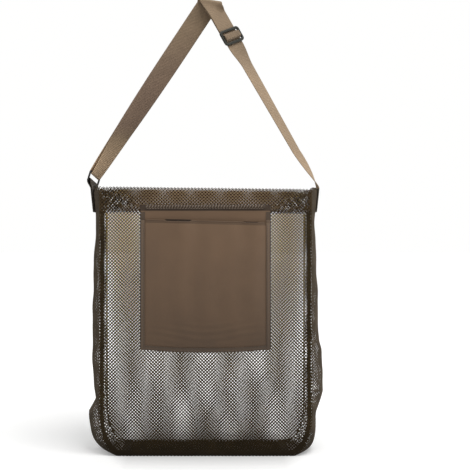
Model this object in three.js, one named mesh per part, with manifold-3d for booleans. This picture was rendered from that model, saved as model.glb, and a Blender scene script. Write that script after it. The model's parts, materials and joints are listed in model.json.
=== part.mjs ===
// Foraging bag: a netting tote that stands open, with a cloth patch pocket on its front
// and a webbing shoulder strap that a wire ring and a three-bar slider make adjustable.
// Millimetres, +Z up, and the front faces -Y. The origin is on the floor, under the middle
// of the base.

import * as THREE from "three";
import { mergeVertices } from "three/addons/utils/BufferGeometryUtils.js";
import Module from "manifold-3d";

// Netting body
const PANEL_WIDTH = 320; // front and back panels, from side seam to side seam
const BAG_HEIGHT = 402; // floor to mouth rim
const MOUTH_DEPTH = 78; // front to back at the rim
const BASE_DEPTH = 92; // front to back at the floor
const CORNER_RUN = 32; // the lower corners round off over this much of the width
const CORNER_RISE = 60; // and over this much of the height
const RIM_BULGE = 13; // how far a gusset bows out past its seams behind the mouth hem
const WAIST_BULGE = 8; // the same where it draws in below the hem
const WAIST_DROP = 18; // from the hem down to there
const SIDE_BULGE = 14; // the same at its fullest height
const FULL_HEIGHT = 190;
const CORNER_BULGE = 20; // the same where it sags, above a lower corner
const CORNER_SQUARENESS = 0.7; // 1 makes the sagging corner round, less makes it squarer
const NET_THICKNESS = 1;
const DIAMOND_WIDTH = 39; // coarse diamonds in the two panels stand for the fine netting
const DIAMOND_HEIGHT = 37;
const DIAMOND_BAND = 8; // left between two diamonds
const DIAMOND_MARGIN = 8; // left along the seams, the base and the hem
const HEM_HEIGHT = 36; // turned-in second layer round the mouth
const HEM_THICKNESS = 1;
const BINDING_WIDTH = 8; // tape on the inner seams
const BINDING_LEAN = 35; // degrees that the tape stands off the gusset
const BINDING_THICKNESS = 1.4;
const BASE_BINDING_WIDTH = 12;

// Patch pocket
const POCKET_WIDTH = 196;
const POCKET_DROP = 26; // from the mouth rim to the top of its backing
const POCKET_BACKING_HEIGHT = 221;
const POCKET_FRONT_HEIGHT = 198;
const POCKET_CLOTH = 0.8;
const POCKET_FULLNESS = 9; // how far the front stands off the backing
const POCKET_RISE = 70; // height over which it reaches that fullness
const POCKET_BINDING_WIDTH = 7;
const POCKET_BOTTOM_HEM = 7;
const POCKET_MOUTH_HEM = 12;
const TOP_BINDING_HEIGHT = 6;
const TOP_BINDING_THICKNESS = 1.8;
const TOP_BINDING_INSET = 8; // it stops this far from the pocket's sides

// Webbing, ring and strap
const WEBBING_WIDTH = 32;
const WEBBING_THICKNESS = 1.4;
const SEWN_LENGTH = 36; // webbing sewn flat on each gusset, down from the rim
const RING_WIRE = 3;
const RING_WIDTH_PLAY = 0.8; // between the webbing's edge and the ring, each side
const RING_PITCH = 13; // between the middles of its two long bars
const RING_LIFT = 10; // its lower bar's middle, above the rim
const RING_LEAN = 12; // degrees from upright, towards the strap
const RING_YAW = 15; // degrees that its back end turns inwards
const RING_DIP = 16; // degrees that its back end hangs down
const STRAP_PEAK = 690; // height of the fold at the top of the strap
const PEAK_SHIFT = 8.5; // the fold lies this far right of the middle
const FOLD_SLIDE = 4; // the left leg comes to the fold this far left of the right leg
const FOLD_LENGTH = 35; // along the crease
const FOLD_TILT = 9; // degrees that the crease slopes down to the right
const FOLD_RADIUS = 2.5; // inside the fold
const OPENING_POWER = 2.5; // above 1 the left leg faces the front soon after the ring
const LOOP_LENGTH = 45; // doubled webbing that bends at the ring
const PLY_SPREAD = 90; // the two plies close up over this length above the ring
const SWING_LIFT = 30; // the strap swings about a line this far above the rim
const SWING_CLEAR = 28; // and its stiff part starts this far above that line
const ROOT_RUN = 34; // how far the right root leans in to meet the strap
const ROOT_BEND = 9; // and it bends over at this height above the rim
const TURN_TOP = 54; // degrees from edge-on: the right leg above its slider
const TURN_MID = 36; // just below the slider
const TURN_LOW = 28; // above the right root
const TURN_START = 76; // length below the fold where it starts to turn
const TURN_LENGTH = 38;
const CREASE_BLEND = 22; // length over which the right leg leaves the crease

// Three-bar slider
const SLIDER_AT = 61; // its middle, down the right leg from the fold
const SLIDER_LENGTH = 25; // along the strap
const SLIDER_BAR = 4.4; // width of its two end bars and its sides
const SLIDER_THICKNESS = 3.2;
const SLIDER_EDGE = 0.6; // rounding of its edges
const SLIDER_WIDTH_PLAY = 1; // between the webbing's edge and its sides
const MIDDLE_BAR = 3.2; // width of the bar that the webbing goes round
const MIDDLE_BAR_DROP = 1.4; // how far that bar lies below the frame's face
const BEND_ROUND = 0.8; // inside corners of the webbing that goes over that bar

// Clearances
const GAP = 0.3; // between pieces that lie on each other
const RUN = 0.35; // between a bar and the webbing that turns round it

// Fineness
const SIDE_STEPS = 3;
const CORNER_STEPS = 6;
const GUSSET_STEPS = 6;
const POCKET_STEPS = 5;
const POCKET_ROWS = 6;
const LEG_STEPS = 12;
const TURN_STEPS = 8;
const FOLD_STEPS = 6;
const BEND_STEPS = 8;
const TAB_STEPS = 2;
const LOOP_STEPS = 3;
const FLAT_STEPS = 2;
const ARC_STEPS = 4;

const half = (size) => size / 2;
const radians = THREE.MathUtils.degToRad;
const mix = THREE.MathUtils.lerp;
const ease = THREE.MathUtils.smoothstep;
const point = (x, y, z) => new THREE.Vector3(x, y, z);

// Numbers from first to last in equal steps, both ends included.
function spaced(first, last, steps) {
  return Array.from({ length: steps + 1 }, (_, k) => mix(first, last, k / steps));
}

// A geometry from points and triangles, turned so that its faces point out.
function solidOf(points, triangles) {
  const volume = triangles.reduce(
    (sum, [a, b, c]) =>
      sum + points[a].dot(point(0, 0, 0).crossVectors(points[b], points[c])),
    0,
  );
  const outward = volume > 0 ? triangles : triangles.map(([a, b, c]) => [a, c, b]);
  const geometry = new THREE.BufferGeometry();
  geometry.setAttribute(
    "position",
    new THREE.Float32BufferAttribute(points.flatMap((p) => p.toArray()), 3),
  );
  geometry.setIndex(outward.flat());
  geometry.computeVertexNormals();
  return geometry;
}

// A sheet with thickness. Each entry of the grid is a pair of points, one on the sheet's
// face and one behind it, and a rim joins the two sides along the four borders.
function closedSheet(grid) {
  const last = { row: grid.length - 1, column: grid[0].length - 1 };
  const perSide = grid.length * grid[0].length;
  const face = (r, c) => r * grid[0].length + c;
  const back = (r, c) => perSide + face(r, c);
  const points = [
    ...grid.flat().map((pair) => pair.face),
    ...grid.flat().map((pair) => pair.back),
  ];
  const triangles = [];
  const quad = (a, b, c, d) => triangles.push([a, b, c], [a, c, d]);
  for (let r = 0; r < last.row; r += 1) {
    for (let c = 0; c < last.column; c += 1) {
      quad(face(r, c), face(r, c + 1), face(r + 1, c + 1), face(r + 1, c));
      quad(back(r, c), back(r + 1, c), back(r + 1, c + 1), back(r, c + 1));
    }
    quad(face(r, 0), face(r + 1, 0), back(r + 1, 0), back(r, 0));
    quad(
      face(r, last.column),
      back(r, last.column),
      back(r + 1, last.column),
      face(r + 1, last.column),
    );
  }
  for (let c = 0; c < last.column; c += 1) {
    quad(face(0, c), back(0, c), back(0, c + 1), face(0, c + 1));
    quad(
      face(last.row, c),
      face(last.row, c + 1),
      back(last.row, c + 1),
      back(last.row, c),
    );
  }
  return solidOf(points, triangles);
}

// A flat ribbon. Each station has its two edge points a and b and its outward normal.
function ribbon(stations) {
  const lift = half(WEBBING_THICKNESS);
  return closedSheet(
    stations.map(({ a, b, normal }) =>
      [a, b].map((edge) => ({
        face: edge.clone().addScaledVector(normal, lift),
        back: edge.clone().addScaledVector(normal, -lift),
      })),
    ),
  );
}

// Closed geometries as manifolds and back, and two of them joined into one.
const wasm = await Module();
wasm.setup();
function manifoldOf(geometry) {
  const bare = geometry.clone();
  bare.deleteAttribute("normal");
  bare.deleteAttribute("uv");
  const merged = mergeVertices(bare);
  return new wasm.Manifold(
    new wasm.Mesh({
      numProp: 3,
      vertProperties: merged.attributes.position.array,
      triVerts: merged.index.array,
    }),
  );
}
function geometryOf(manifold) {
  const mesh = manifold.getMesh();
  const geometry = new THREE.BufferGeometry();
  geometry.setAttribute("position", new THREE.BufferAttribute(mesh.vertProperties, 3));
  geometry.setIndex(new THREE.BufferAttribute(mesh.triVerts, 1));
  geometry.computeVertexNormals();
  return geometry;
}
function joined(first, second) {
  return geometryOf(manifoldOf(first).add(manifoldOf(second)));
}

const bag = new THREE.Group();
const NET_BROWN = 0x4a3c2b;
const HEM_BROWN = 0x3f3324;
const BINDING_BROWN = 0x2c2419;
const CLOTH_BROWN = 0x625040;
const CLOTH_EDGE_BROWN = 0x4d4032;
const WEBBING_TAN = 0x85704f;
const TAB_BROWN = 0x352c20;
const PLASTIC_BLACK = 0x23241c;
const WIRE_BLACK = 0x16150f;

function add(name, geometry, color, { roughness = 0.9, metalness = 0, parent = bag } = {}) {
  const material = new THREE.MeshStandardMaterial({ color, roughness, metalness });
  const mesh = new THREE.Mesh(geometry, material);
  mesh.name = name;
  parent.add(mesh);
  return mesh;
}

// Shape of the netting body
const halfPanel = half(PANEL_WIDTH);
const depthAt = (z) => mix(BASE_DEPTH, MOUTH_DEPTH, z / BAG_HEIGHT);
const frontAt = (z) => -half(depthAt(z)); // outer face of the front panel
const innerHalfDepth = (z) => half(depthAt(z)) - NET_THICKNESS - GAP;

// One side seam from height top down to where the flat base starts. Each place has x and z,
// the outward normal nx and nz, and how far out and down the gusset's middle lies from it.
const hemBottom = BAG_HEIGHT - HEM_HEIGHT;
const waist = hemBottom - WAIST_DROP;
const halfBase = halfPanel - CORNER_RUN;
function sideSeam(top) {
  const upper = spaced(waist, FULL_HEIGHT, SIDE_STEPS).map((z) => {
    const share = (waist - z) / (waist - FULL_HEIGHT);
    return [z, mix(WAIST_BULGE, SIDE_BULGE, share)];
  });
  const lower = spaced(FULL_HEIGHT, CORNER_RISE, SIDE_STEPS).map((z) => {
    const share = ease(FULL_HEIGHT - z, 0, FULL_HEIGHT - CORNER_RISE);
    return [z, mix(SIDE_BULGE, CORNER_BULGE, share)];
  });
  const start = [top, hemBottom].filter((z) => z <= top).map((z) => [z, RIM_BULGE]);
  const side = [...start, ...upper, ...lower.slice(1)].map(([z, bow]) => {
    return { x: halfPanel, z, nx: 1, nz: 0, out: bow, down: 0 };
  });
  const corner = spaced(0, half(Math.PI), CORNER_STEPS)
    .slice(1)
    .map((angle) => {
      const [level, steep] = [Math.cos(angle), Math.sin(angle)];
      const length = Math.hypot(level * CORNER_RISE, steep * CORNER_RUN);
      const reach = (CORNER_RUN + CORNER_BULGE) * Math.max(level, 0) ** CORNER_SQUARENESS;
      return {
        x: halfBase + CORNER_RUN * level,
        z: CORNER_RISE * (1 - steep),
        nx: (level * CORNER_RISE) / length,
        nz: (-steep * CORNER_RUN) / length,
        out: reach - CORNER_RUN * level,
        down: CORNER_RISE * (steep ** CORNER_SQUARENESS - steep),
      };
    });
  return [...side, ...corner];
}

// A point of the boxing strip at one seam place: across runs from -1 at the front seam to 1
// at the back seam, and depth is how far below the strip's outer face it lies.
function stripPoint(seam, hand, across, depth) {
  const bowed = 1 - across ** 4;
  return point(
    hand * (seam.x + seam.out * bowed - seam.nx * depth),
    across * innerHalfDepth(seam.z),
    seam.z - seam.down * bowed - seam.nz * depth,
  );
}

// A layer of the boxing strip between two depths.
function stripSheet(seams, hand, outerDepth, thickness) {
  return closedSheet(
    seams.map((seam) =>
      spaced(-1, 1, GUSSET_STEPS).map((across) => ({
        face: stripPoint(seam, hand, across, outerDepth),
        back: stripPoint(seam, hand, across, outerDepth + thickness),
      })),
    ),
  );
}

// An upright sheet between rows of height, with a y for its outer and its inner face.
function uprightSheet(rows, columnsAt, outerAt, innerAt) {
  return closedSheet(
    rows.map((z) =>
      columnsAt(z).map((x) => ({
        face: point(x, outerAt(x, z), z),
        back: point(x, innerAt(x, z), z),
      })),
    ),
  );
}

const rimSeam = sideSeam(BAG_HEIGHT);

// Half width of the front and back panels at a height.
function halfWidthAt(z) {
  const drop = Math.max(0, CORNER_RISE - z) / CORNER_RISE;
  return halfBase + CORNER_RUN * Math.sqrt(1 - drop ** 2);
}

// Diamond openings of those panels, in staggered rows from the hem down.
function diamondOpenings() {
  const diagonal = Math.hypot(DIAMOND_WIDTH, DIAMOND_HEIGHT);
  const open = 1 - (DIAMOND_BAND * diagonal) / (DIAMOND_WIDTH * DIAMOND_HEIGHT);
  const reachX = half(DIAMOND_WIDTH) * open;
  const reachZ = half(DIAMOND_HEIGHT) * open;
  const top = hemBottom - DIAMOND_MARGIN - reachZ;
  const rowCount = Math.floor((top - DIAMOND_MARGIN - reachZ) / half(DIAMOND_HEIGHT));
  const bottom = top - rowCount * half(DIAMOND_HEIGHT);
  return spaced(top, bottom, rowCount).flatMap((z, row) => {
    const shift = row % 2 === 0 ? half(DIAMOND_WIDTH) : 0;
    const room = halfWidthAt(z - reachZ) - DIAMOND_MARGIN - reachX;
    const last = shift + DIAMOND_WIDTH * Math.floor((room - shift) / DIAMOND_WIDTH);
    return spaced(-last, last, Math.round((2 * last) / DIAMOND_WIDTH)).map((x) =>
      new THREE.Path([
        new THREE.Vector2(x - reachX, z),
        new THREE.Vector2(x, z - reachZ),
        new THREE.Vector2(x + reachX, z),
        new THREE.Vector2(x, z + reachZ),
      ]),
    );
  });
}

// Front and back panels: one flat cut with its openings, set up in front and behind
const rightEdge = rimSeam
  .filter(({ z }) => z === BAG_HEIGHT || z <= CORNER_RISE)
  .map(({ x, z }) => new THREE.Vector2(x, z));
const leftEdge = rightEdge.map(({ x, y }) => new THREE.Vector2(-x, y)).reverse();
const panelCut = new THREE.Shape([...rightEdge, ...leftEdge]);
panelCut.holes = diamondOpenings();
const flatPanel = manifoldOf(
  new THREE.ExtrudeGeometry(panelCut, { depth: NET_THICKNESS, bevelEnabled: false }),
);
const panelSlope = (frontAt(BAG_HEIGHT) - frontAt(0)) / BAG_HEIGHT;
for (const [name, facing] of [["front_net_panel", 1], ["back_net_panel", -1]]) {
  const upright = new THREE.Matrix4()
    .makeBasis(point(1, 0, 0), point(0, facing * panelSlope, 1), point(0, facing, 0))
    .setPosition(0, facing * frontAt(0), 0);
  add(name, geometryOf(flatPanel.transform(upright.elements)), NET_BROWN);
}

// Gussets and base
for (const [name, hand] of [["left_gusset", -1], ["right_gusset", 1]]) {
  add(name, stripSheet(rimSeam, hand, 0, NET_THICKNESS), NET_BROWN);
}
const baseEnd = halfBase - GAP;
add(
  "base_panel",
  closedSheet(
    [-baseEnd, baseEnd].map((x) =>
      [-1, 1].map((side) => ({
        face: point(x, side * innerHalfDepth(0), 0),
        back: point(x, side * innerHalfDepth(0), NET_THICKNESS),
      })),
    ),
  ),
  NET_BROWN,
);

// Mouth hem: a second layer inside each panel, from the rim down
const hemRows = [BAG_HEIGHT, hemBottom];
const underNet = NET_THICKNESS + GAP;
const hemEnd = halfPanel - underNet - HEM_THICKNESS - GAP;
for (const [name, facing] of [["front_hem", 1], ["back_hem", -1]]) {
  add(
    name,
    uprightSheet(
      hemRows,
      () => [-hemEnd, hemEnd],
      (x, z) => facing * (frontAt(z) + underNet),
      (x, z) => facing * (frontAt(z) + underNet + HEM_THICKNESS),
    ),
    HEM_BROWN,
  );
}
const hemSeams = hemRows.map((z) => ({ ...rimSeam[0], z }));
for (const [name, hand] of [["left_hem", -1], ["right_hem", 1]]) {
  add(name, stripSheet(hemSeams, hand, underNet, HEM_THICKNESS), HEM_BROWN);
}

// Binding tape inside the front and the back seam: down one side from the hem, along the
// base and up the other side, with its free edge leaning into the bag
const bindingSeam = sideSeam(hemBottom - GAP);
const bindingInset = BINDING_WIDTH * Math.cos(radians(BINDING_LEAN));
const bindingStandoff = BINDING_WIDTH * Math.sin(radians(BINDING_LEAN));
const bindingPath = [
  ...bindingSeam.map((seam) => ({ ...seam, hand: -1 })),
  ...[...bindingSeam].reverse().map((seam) => ({ ...seam, hand: 1 })),
];
for (const [name, facing] of [["front_seam_binding", -1], ["back_seam_binding", 1]]) {
  add(
    name,
    closedSheet(
      bindingPath.map(({ x, z, nx, nz, hand }) => {
        const layer = (depth, inset) =>
          point(
            hand * (x - nx * depth),
            facing * (innerHalfDepth(z) - inset),
            z - nz * depth,
          );
        return [[0, 0], [bindingInset, bindingStandoff]].map(([inset, standoff]) => ({
          face: layer(underNet + standoff, inset),
          back: layer(underNet + standoff + BINDING_THICKNESS, inset),
        }));
      }),
    ),
    BINDING_BROWN,
  );
}

// Tape on the seams between the gussets and the base, between the two long bindings
const baseTapeReach = innerHalfDepth(0) - bindingInset - GAP;
for (const [name, hand] of [["left_base_binding", -1], ["right_base_binding", 1]]) {
  const tape = new THREE.BoxGeometry(
    BASE_BINDING_WIDTH,
    2 * baseTapeReach,
    BINDING_THICKNESS,
  );
  const mesh = add(name, tape, BINDING_BROWN);
  mesh.position.set(
    hand * (baseEnd - half(BASE_BINDING_WIDTH)),
    0,
    underNet + half(BINDING_THICKNESS),
  );
}

// Patch pocket. The backing lies on the front panel, and the front stands off it in the
// middle and meets it along the sides and the bottom.
const halfPocket = half(POCKET_WIDTH);
const pocketBindingEdge = halfPocket - POCKET_BINDING_WIDTH;
const backingTop = BAG_HEIGHT - POCKET_DROP;
const pocketBottom = backingTop - POCKET_BACKING_HEIGHT;
const pocketMouth = pocketBottom + POCKET_FRONT_HEIGHT;
const backingFace = (z) => frontAt(z) - GAP - POCKET_CLOTH;
function pocketFace(x, z) {
  const rise = Math.sin(half(Math.PI) * Math.min(1, (z - pocketBottom) / POCKET_RISE));
  const stand = POCKET_FULLNESS * rise * (1 - (x / halfPocket) ** 4);
  return backingFace(z) - GAP - stand - POCKET_CLOTH;
}
const pocketMiddle = spaced(-pocketBindingEdge, pocketBindingEdge, POCKET_STEPS);
const pocketColumns = [-halfPocket, ...pocketMiddle, halfPocket];
const pocketRows = [
  pocketBottom,
  ...spaced(
    pocketBottom + POCKET_BOTTOM_HEM,
    pocketMouth - POCKET_MOUTH_HEM,
    POCKET_ROWS,
  ),
  pocketMouth,
];
// A cloth layer that follows the pocket's front, in front of it or, with a negative lift,
// behind it.
const pocketLayer = (rows, columns, lift, thickness) =>
  uprightSheet(
    rows,
    () => columns,
    (x, z) => pocketFace(x, z) - lift - thickness,
    (x, z) => pocketFace(x, z) - lift,
  );

add(
  "pocket_backing",
  uprightSheet(
    [pocketBottom, backingTop],
    () => [-halfPocket, halfPocket],
    (x, z) => backingFace(z),
    (x, z) => backingFace(z) + POCKET_CLOTH,
  ),
  CLOTH_BROWN,
  { roughness: 0.7 },
);
add(
  "pocket_front",
  pocketLayer(pocketRows, pocketColumns, -POCKET_CLOTH, POCKET_CLOTH),
  CLOTH_BROWN,
  { roughness: 0.7 },
);
add(
  "pocket_left_binding",
  pocketLayer(pocketRows, [-halfPocket, -pocketBindingEdge], GAP, POCKET_CLOTH),
  CLOTH_EDGE_BROWN,
  { roughness: 0.8 },
);
add(
  "pocket_right_binding",
  pocketLayer(pocketRows, [pocketBindingEdge, halfPocket], GAP, POCKET_CLOTH),
  CLOTH_EDGE_BROWN,
  { roughness: 0.8 },
);
const insideBindings = [
  pocketMiddle[0] + GAP,
  ...pocketMiddle.slice(1, -1),
  pocketMiddle.at(-1) - GAP,
];
add(
  "pocket_bottom_hem",
  pocketLayer(pocketRows.slice(0, 2), insideBindings, GAP, POCKET_CLOTH),
  CLOTH_EDGE_BROWN,
  { roughness: 0.8 },
);
add(
  "pocket_mouth_hem",
  pocketLayer(pocketRows.slice(-2), insideBindings, -2 * POCKET_CLOTH - GAP, POCKET_CLOTH),
  CLOTH_BROWN,
  { roughness: 0.7 },
);
const topBindingMiddle = backingTop - half(TOP_BINDING_HEIGHT);
const topBinding = add(
  "pocket_top_binding",
  new THREE.BoxGeometry(
    POCKET_WIDTH - 2 * TOP_BINDING_INSET,
    TOP_BINDING_THICKNESS,
    TOP_BINDING_HEIGHT,
  ),
  CLOTH_EDGE_BROWN,
);
topBinding.position.set(
  0,
  backingFace(backingTop - TOP_BINDING_HEIGHT) - GAP - half(TOP_BINDING_THICKNESS),
  topBindingMiddle,
);

// Webbing on the gussets: one sewn ply on the right, two on the left that hold the ring
const gussetFace = halfPanel + RIM_BULGE;
const plyPitch = WEBBING_THICKNESS + GAP;
const sewnMiddle = gussetFace + GAP + half(WEBBING_THICKNESS);
const sewnBottom = BAG_HEIGHT - SEWN_LENGTH;
const depthwise = point(0, 1, 0);

// A ribbon station across a middle point.
function station(middle, width, normal) {
  const reach = half(WEBBING_WIDTH);
  return {
    a: middle.clone().addScaledVector(width, -reach),
    b: middle.clone().addScaledVector(width, reach),
    normal,
  };
}

add(
  "strap_right_end",
  ribbon(
    [sewnBottom, BAG_HEIGHT].map((z) =>
      station(point(sewnMiddle, 0, z), depthwise, point(1, 0, 0)),
    ),
  ),
  WEBBING_TAN,
);

// Ring: its long bars run front to back, with the back end dipped and turned inwards
const barway = point(
  Math.sin(radians(RING_YAW)) * Math.cos(radians(RING_DIP)),
  Math.cos(radians(RING_YAW)) * Math.cos(radians(RING_DIP)),
  -Math.sin(radians(RING_DIP)),
);
const ringUp = point(Math.sin(radians(RING_LEAN)), 0, Math.cos(radians(RING_LEAN)));
ringUp.addScaledVector(barway, -ringUp.dot(barway)).normalize();
const lowerBar = point(-sewnMiddle - half(plyPitch), 0, BAG_HEIGHT + RING_LIFT);
const upperBar = lowerBar.clone().addScaledVector(ringUp, RING_PITCH);
const ringHalfInside = half(WEBBING_WIDTH) + RING_WIDTH_PLAY;

// A rectangle as a path or as a hole.
function rectangle(Kind, left, right, bottom, top) {
  const path = new Kind();
  path.moveTo(left, bottom);
  path.lineTo(right, bottom);
  path.lineTo(right, top);
  path.lineTo(left, top);
  path.closePath();
  return path;
}

const wireEdge = RING_WIRE * (1 - Math.SQRT1_2); // makes the wire an octagon
const ringOuter = ringHalfInside + RING_WIRE - wireEdge;
const ringInner = ringHalfInside + wireEdge;
const ringShape = rectangle(
  THREE.Shape,
  -ringOuter,
  ringOuter,
  -half(RING_WIRE) + wireEdge,
  RING_PITCH + half(RING_WIRE) - wireEdge,
);
ringShape.holes.push(
  rectangle(
    THREE.Path,
    -ringInner,
    ringInner,
    half(RING_WIRE) - wireEdge,
    RING_PITCH - half(RING_WIRE) + wireEdge,
  ),
);
const ringGeometry = new THREE.ExtrudeGeometry(ringShape, {
  depth: RING_WIRE - 2 * wireEdge,
  bevelSize: wireEdge,
  bevelThickness: wireEdge,
  bevelSegments: 1,
});
ringGeometry.translate(0, 0, wireEdge - half(RING_WIRE));
const ring = add("strap_ring", ringGeometry, WIRE_BLACK, { roughness: 0.35, metalness: 0.8 });
const ringNormal = point(0, 0, 0).crossVectors(barway, ringUp);
ring.quaternion.setFromRotationMatrix(
  new THREE.Matrix4().makeBasis(barway, ringUp, ringNormal),
);
ring.position.copy(lowerBar);

// A ribbon folded round a bar: down one ply, round the bar and back along the other ply.
// legAt gives the middle, width direction and ply normal at a length from the bar, and
// spreadAt how far each ply lies from the middle there.
function foldedRibbon(bar, lengths, legAt, spreadAt) {
  const ply = (length, side) => {
    const { middle, width, normal } = legAt(length);
    const outward = normal.clone().multiplyScalar(side);
    return station(middle.clone().addScaledVector(outward, spreadAt(length)), width, outward);
  };
  const start = legAt(0);
  const away = point(0, 0, 0).crossVectors(start.normal, start.width);
  const turn = spaced(0, Math.PI, BEND_STEPS)
    .slice(1, -1)
    .map((angle) => {
      const outward = start.normal
        .clone()
        .multiplyScalar(Math.cos(angle))
        .addScaledVector(away, Math.sin(angle));
      const middle = bar.clone().addScaledVector(outward, spreadAt(0));
      return station(middle, start.width, outward);
    });
  return ribbon([
    ...[...lengths].reverse().map((length) => ply(length, 1)),
    ...turn,
    ...lengths.map((length) => ply(length, -1)),
  ]);
}

// Ply spacing that passes the bar, stays as wide for one wire below it and then closes up
// to two plies that lie on each other.
const barSpread = half(RING_WIRE) + RUN + half(WEBBING_THICKNESS);
const spreadOver = (reach) => (length) =>
  mix(barSpread, half(plyPitch), ease(length, RING_WIRE, reach));

// Tab: two plies on the left gusset, open at the top round the ring's lower bar
add(
  "ring_tab",
  foldedRibbon(
    lowerBar,
    [0, ...spaced(RING_WIRE, RING_LIFT, TAB_STEPS), RING_LIFT + SEWN_LENGTH],
    (length) => {
      const settled = ease(length, RING_WIRE, RING_LIFT);
      const width = barway.clone().lerp(depthwise, settled).normalize();
      const normal = point(0, 0, 0).crossVectors(width, point(0, 0, 1)).normalize();
      return { middle: point(lowerBar.x, 0, lowerBar.z - length), width, normal };
    },
    spreadOver(RING_LIFT),
  ),
  TAB_BROWN,
);

// Strap. Its webbing runs from the ring up the left leg, over the fold and down the right
// leg. Each place has the edge points a and b of the line midway between the outer run and
// the return run, and the normal that points out of the loop.
const fold = point(PEAK_SHIFT, 0, STRAP_PEAK);
const creaseHalf = point(
  half(FOLD_LENGTH) * Math.cos(radians(FOLD_TILT)),
  0,
  -half(FOLD_LENGTH) * Math.sin(radians(FOLD_TILT)),
);
const foldMiddle = FOLD_RADIUS + WEBBING_THICKNESS + half(GAP);

function outNormal(a, b, along) {
  return point(0, 0, 0).crossVectors(along, b.clone().sub(a)).normalize();
}

// Left leg at a length up from the ring. It turns from the ring's bar to the crease with its
// width kept, quickly above the ring and slowly near the crease.
const leftTop = fold.clone().add(point(-FOLD_SLIDE, foldMiddle, 0));
const leftAlong = leftTop.clone().sub(upperBar).normalize();
const leftLength = leftTop.distanceTo(upperBar);
function leftLeg(length) {
  const share = length / leftLength;
  const middle = upperBar.clone().lerp(leftTop, share);
  const barHalf = barway.clone().multiplyScalar(half(WEBBING_WIDTH));
  const opened = 1 - (1 - share) ** OPENING_POWER;
  const flat = barHalf.setY(0).lerp(creaseHalf, opened);
  const acrossLeg = Math.sqrt(flat.lengthSq() - flat.dot(leftAlong) ** 2);
  const depth = Math.sqrt(Math.max(half(WEBBING_WIDTH) ** 2 - acrossLeg ** 2, 0));
  const reach = flat.setY(depth);
  const a = middle.clone().sub(reach);
  const b = middle.clone().add(reach);
  return { a, b, middle, normal: outNormal(a, b, leftAlong) };
}

// Right leg at a length down from the fold. It stays flat through the slider and then turns
// towards edge-on.
const swingHeight = BAG_HEIGHT + SWING_LIFT;
const rightTop = fold.clone().sub(point(0, foldMiddle, 0));
const rightLow = point(sewnMiddle - ROOT_RUN, 0, swingHeight + SWING_CLEAR);
const rightAlong = rightLow.clone().sub(rightTop).normalize();
const rightLength = rightLow.distanceTo(rightTop);
const rightAcross = point(0, 0, 0).crossVectors(depthwise, rightAlong).negate().normalize();
const turnEnd = TURN_START + TURN_LENGTH;
function rightLeg(length) {
  const lower = Math.max(0, (length - turnEnd) / (rightLength - turnEnd));
  const settled = mix(TURN_MID, TURN_LOW, lower);
  const turn = radians(mix(TURN_TOP, settled, ease(length, TURN_START, turnEnd)));
  const reach = depthwise
    .clone()
    .multiplyScalar(Math.cos(turn))
    .addScaledVector(rightAcross, Math.sin(turn))
    .multiplyScalar(half(WEBBING_WIDTH))
    .lerp(creaseHalf, 1 - ease(length, 0, CREASE_BLEND));
  const middle = rightTop.clone().addScaledVector(rightAlong, length);
  const a = middle.clone().sub(reach);
  const b = middle.clone().add(reach);
  return { a, b, middle, normal: outNormal(a, b, rightAlong) };
}

// The fold itself, turned by an angle from the left leg over the top to the right leg.
function foldPlace(angle) {
  const normal = point(0, Math.cos(angle), Math.sin(angle));
  const middle = fold.clone().addScaledVector(normal, foldMiddle);
  middle.x -= FOLD_SLIDE * half(1 + Math.cos(angle));
  return { a: middle.clone().sub(creaseHalf), b: middle.clone().add(creaseHalf), normal };
}

// Moves a place out of the loop (or in, with a negative lift) to the ply that lies there.
function onPly({ a, b, normal }, lift) {
  return {
    a: a.clone().addScaledVector(normal, lift),
    b: b.clone().addScaledVector(normal, lift),
    normal,
  };
}

const plySpread = spreadOver(PLY_SPREAD);
const leftStations = (side) =>
  spaced(LOOP_LENGTH + GAP, leftLength - foldMiddle, LEG_STEPS).map((length) =>
    onPly(leftLeg(length), side * plySpread(length)),
  );
const foldStations = (side) =>
  spaced(0, Math.PI, FOLD_STEPS).map((angle) =>
    onPly(foldPlace(angle), side * half(plyPitch)),
  );
const rightStations = (side, lengths) =>
  lengths.map((length) => onPly(rightLeg(length), side * half(plyPitch)));
const flatRun = spaced(foldMiddle, CREASE_BLEND, FLAT_STEPS);
add(
  "strap_main",
  ribbon([
    ...leftStations(1),
    ...foldStations(1),
    ...rightStations(1, [
      ...flatRun,
      ...spaced(TURN_START, turnEnd, TURN_STEPS),
      ...spaced(turnEnd, rightLength, half(LEG_STEPS)).slice(1),
    ]),
  ]),
  WEBBING_TAN,
);
add(
  "strap_return",
  ribbon([
    ...leftStations(-1),
    ...foldStations(-1),
    ...rightStations(-1, [...flatRun, SLIDER_AT]),
  ]),
  WEBBING_TAN,
);
add(
  "strap_ring_loop",
  foldedRibbon(
    upperBar,
    spaced(0, LOOP_LENGTH, LOOP_STEPS),
    (length) => {
      const { a, b, middle, normal } = leftLeg(length);
      return { middle, width: b.clone().sub(a).normalize(), normal };
    },
    plySpread,
  ),
  WEBBING_TAN,
);

// Right root: the webbing that turns from the sewn end to the right leg
const rootTop = onPly(rightLeg(rightLength), half(plyPitch));
const rootStart = rootTop.a.clone().add(rootTop.b).multiplyScalar(0.5);
rootStart.addScaledVector(rightAlong, GAP);
const rootEnd = point(sewnMiddle, 0, BAG_HEIGHT + GAP);
const rootBend = point(sewnMiddle, 0, BAG_HEIGHT + ROOT_BEND);
const rootCurve = new THREE.QuadraticBezierCurve3(rootStart, rootBend, rootEnd);
const rootTopWidth = rootTop.b.clone().sub(rootTop.a).normalize();
add(
  "strap_right_root",
  ribbon(
    spaced(0, 1, BEND_STEPS).map((share) => {
      const width = rootTopWidth.clone().lerp(depthwise, ease(share, 0, 1)).normalize();
      const along = rootCurve.getTangent(share);
      const normal = point(0, 0, 0).crossVectors(along, width).normalize();
      return station(rootCurve.getPoint(share), width, normal);
    }),
  ),
  WEBBING_TAN,
);

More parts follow.
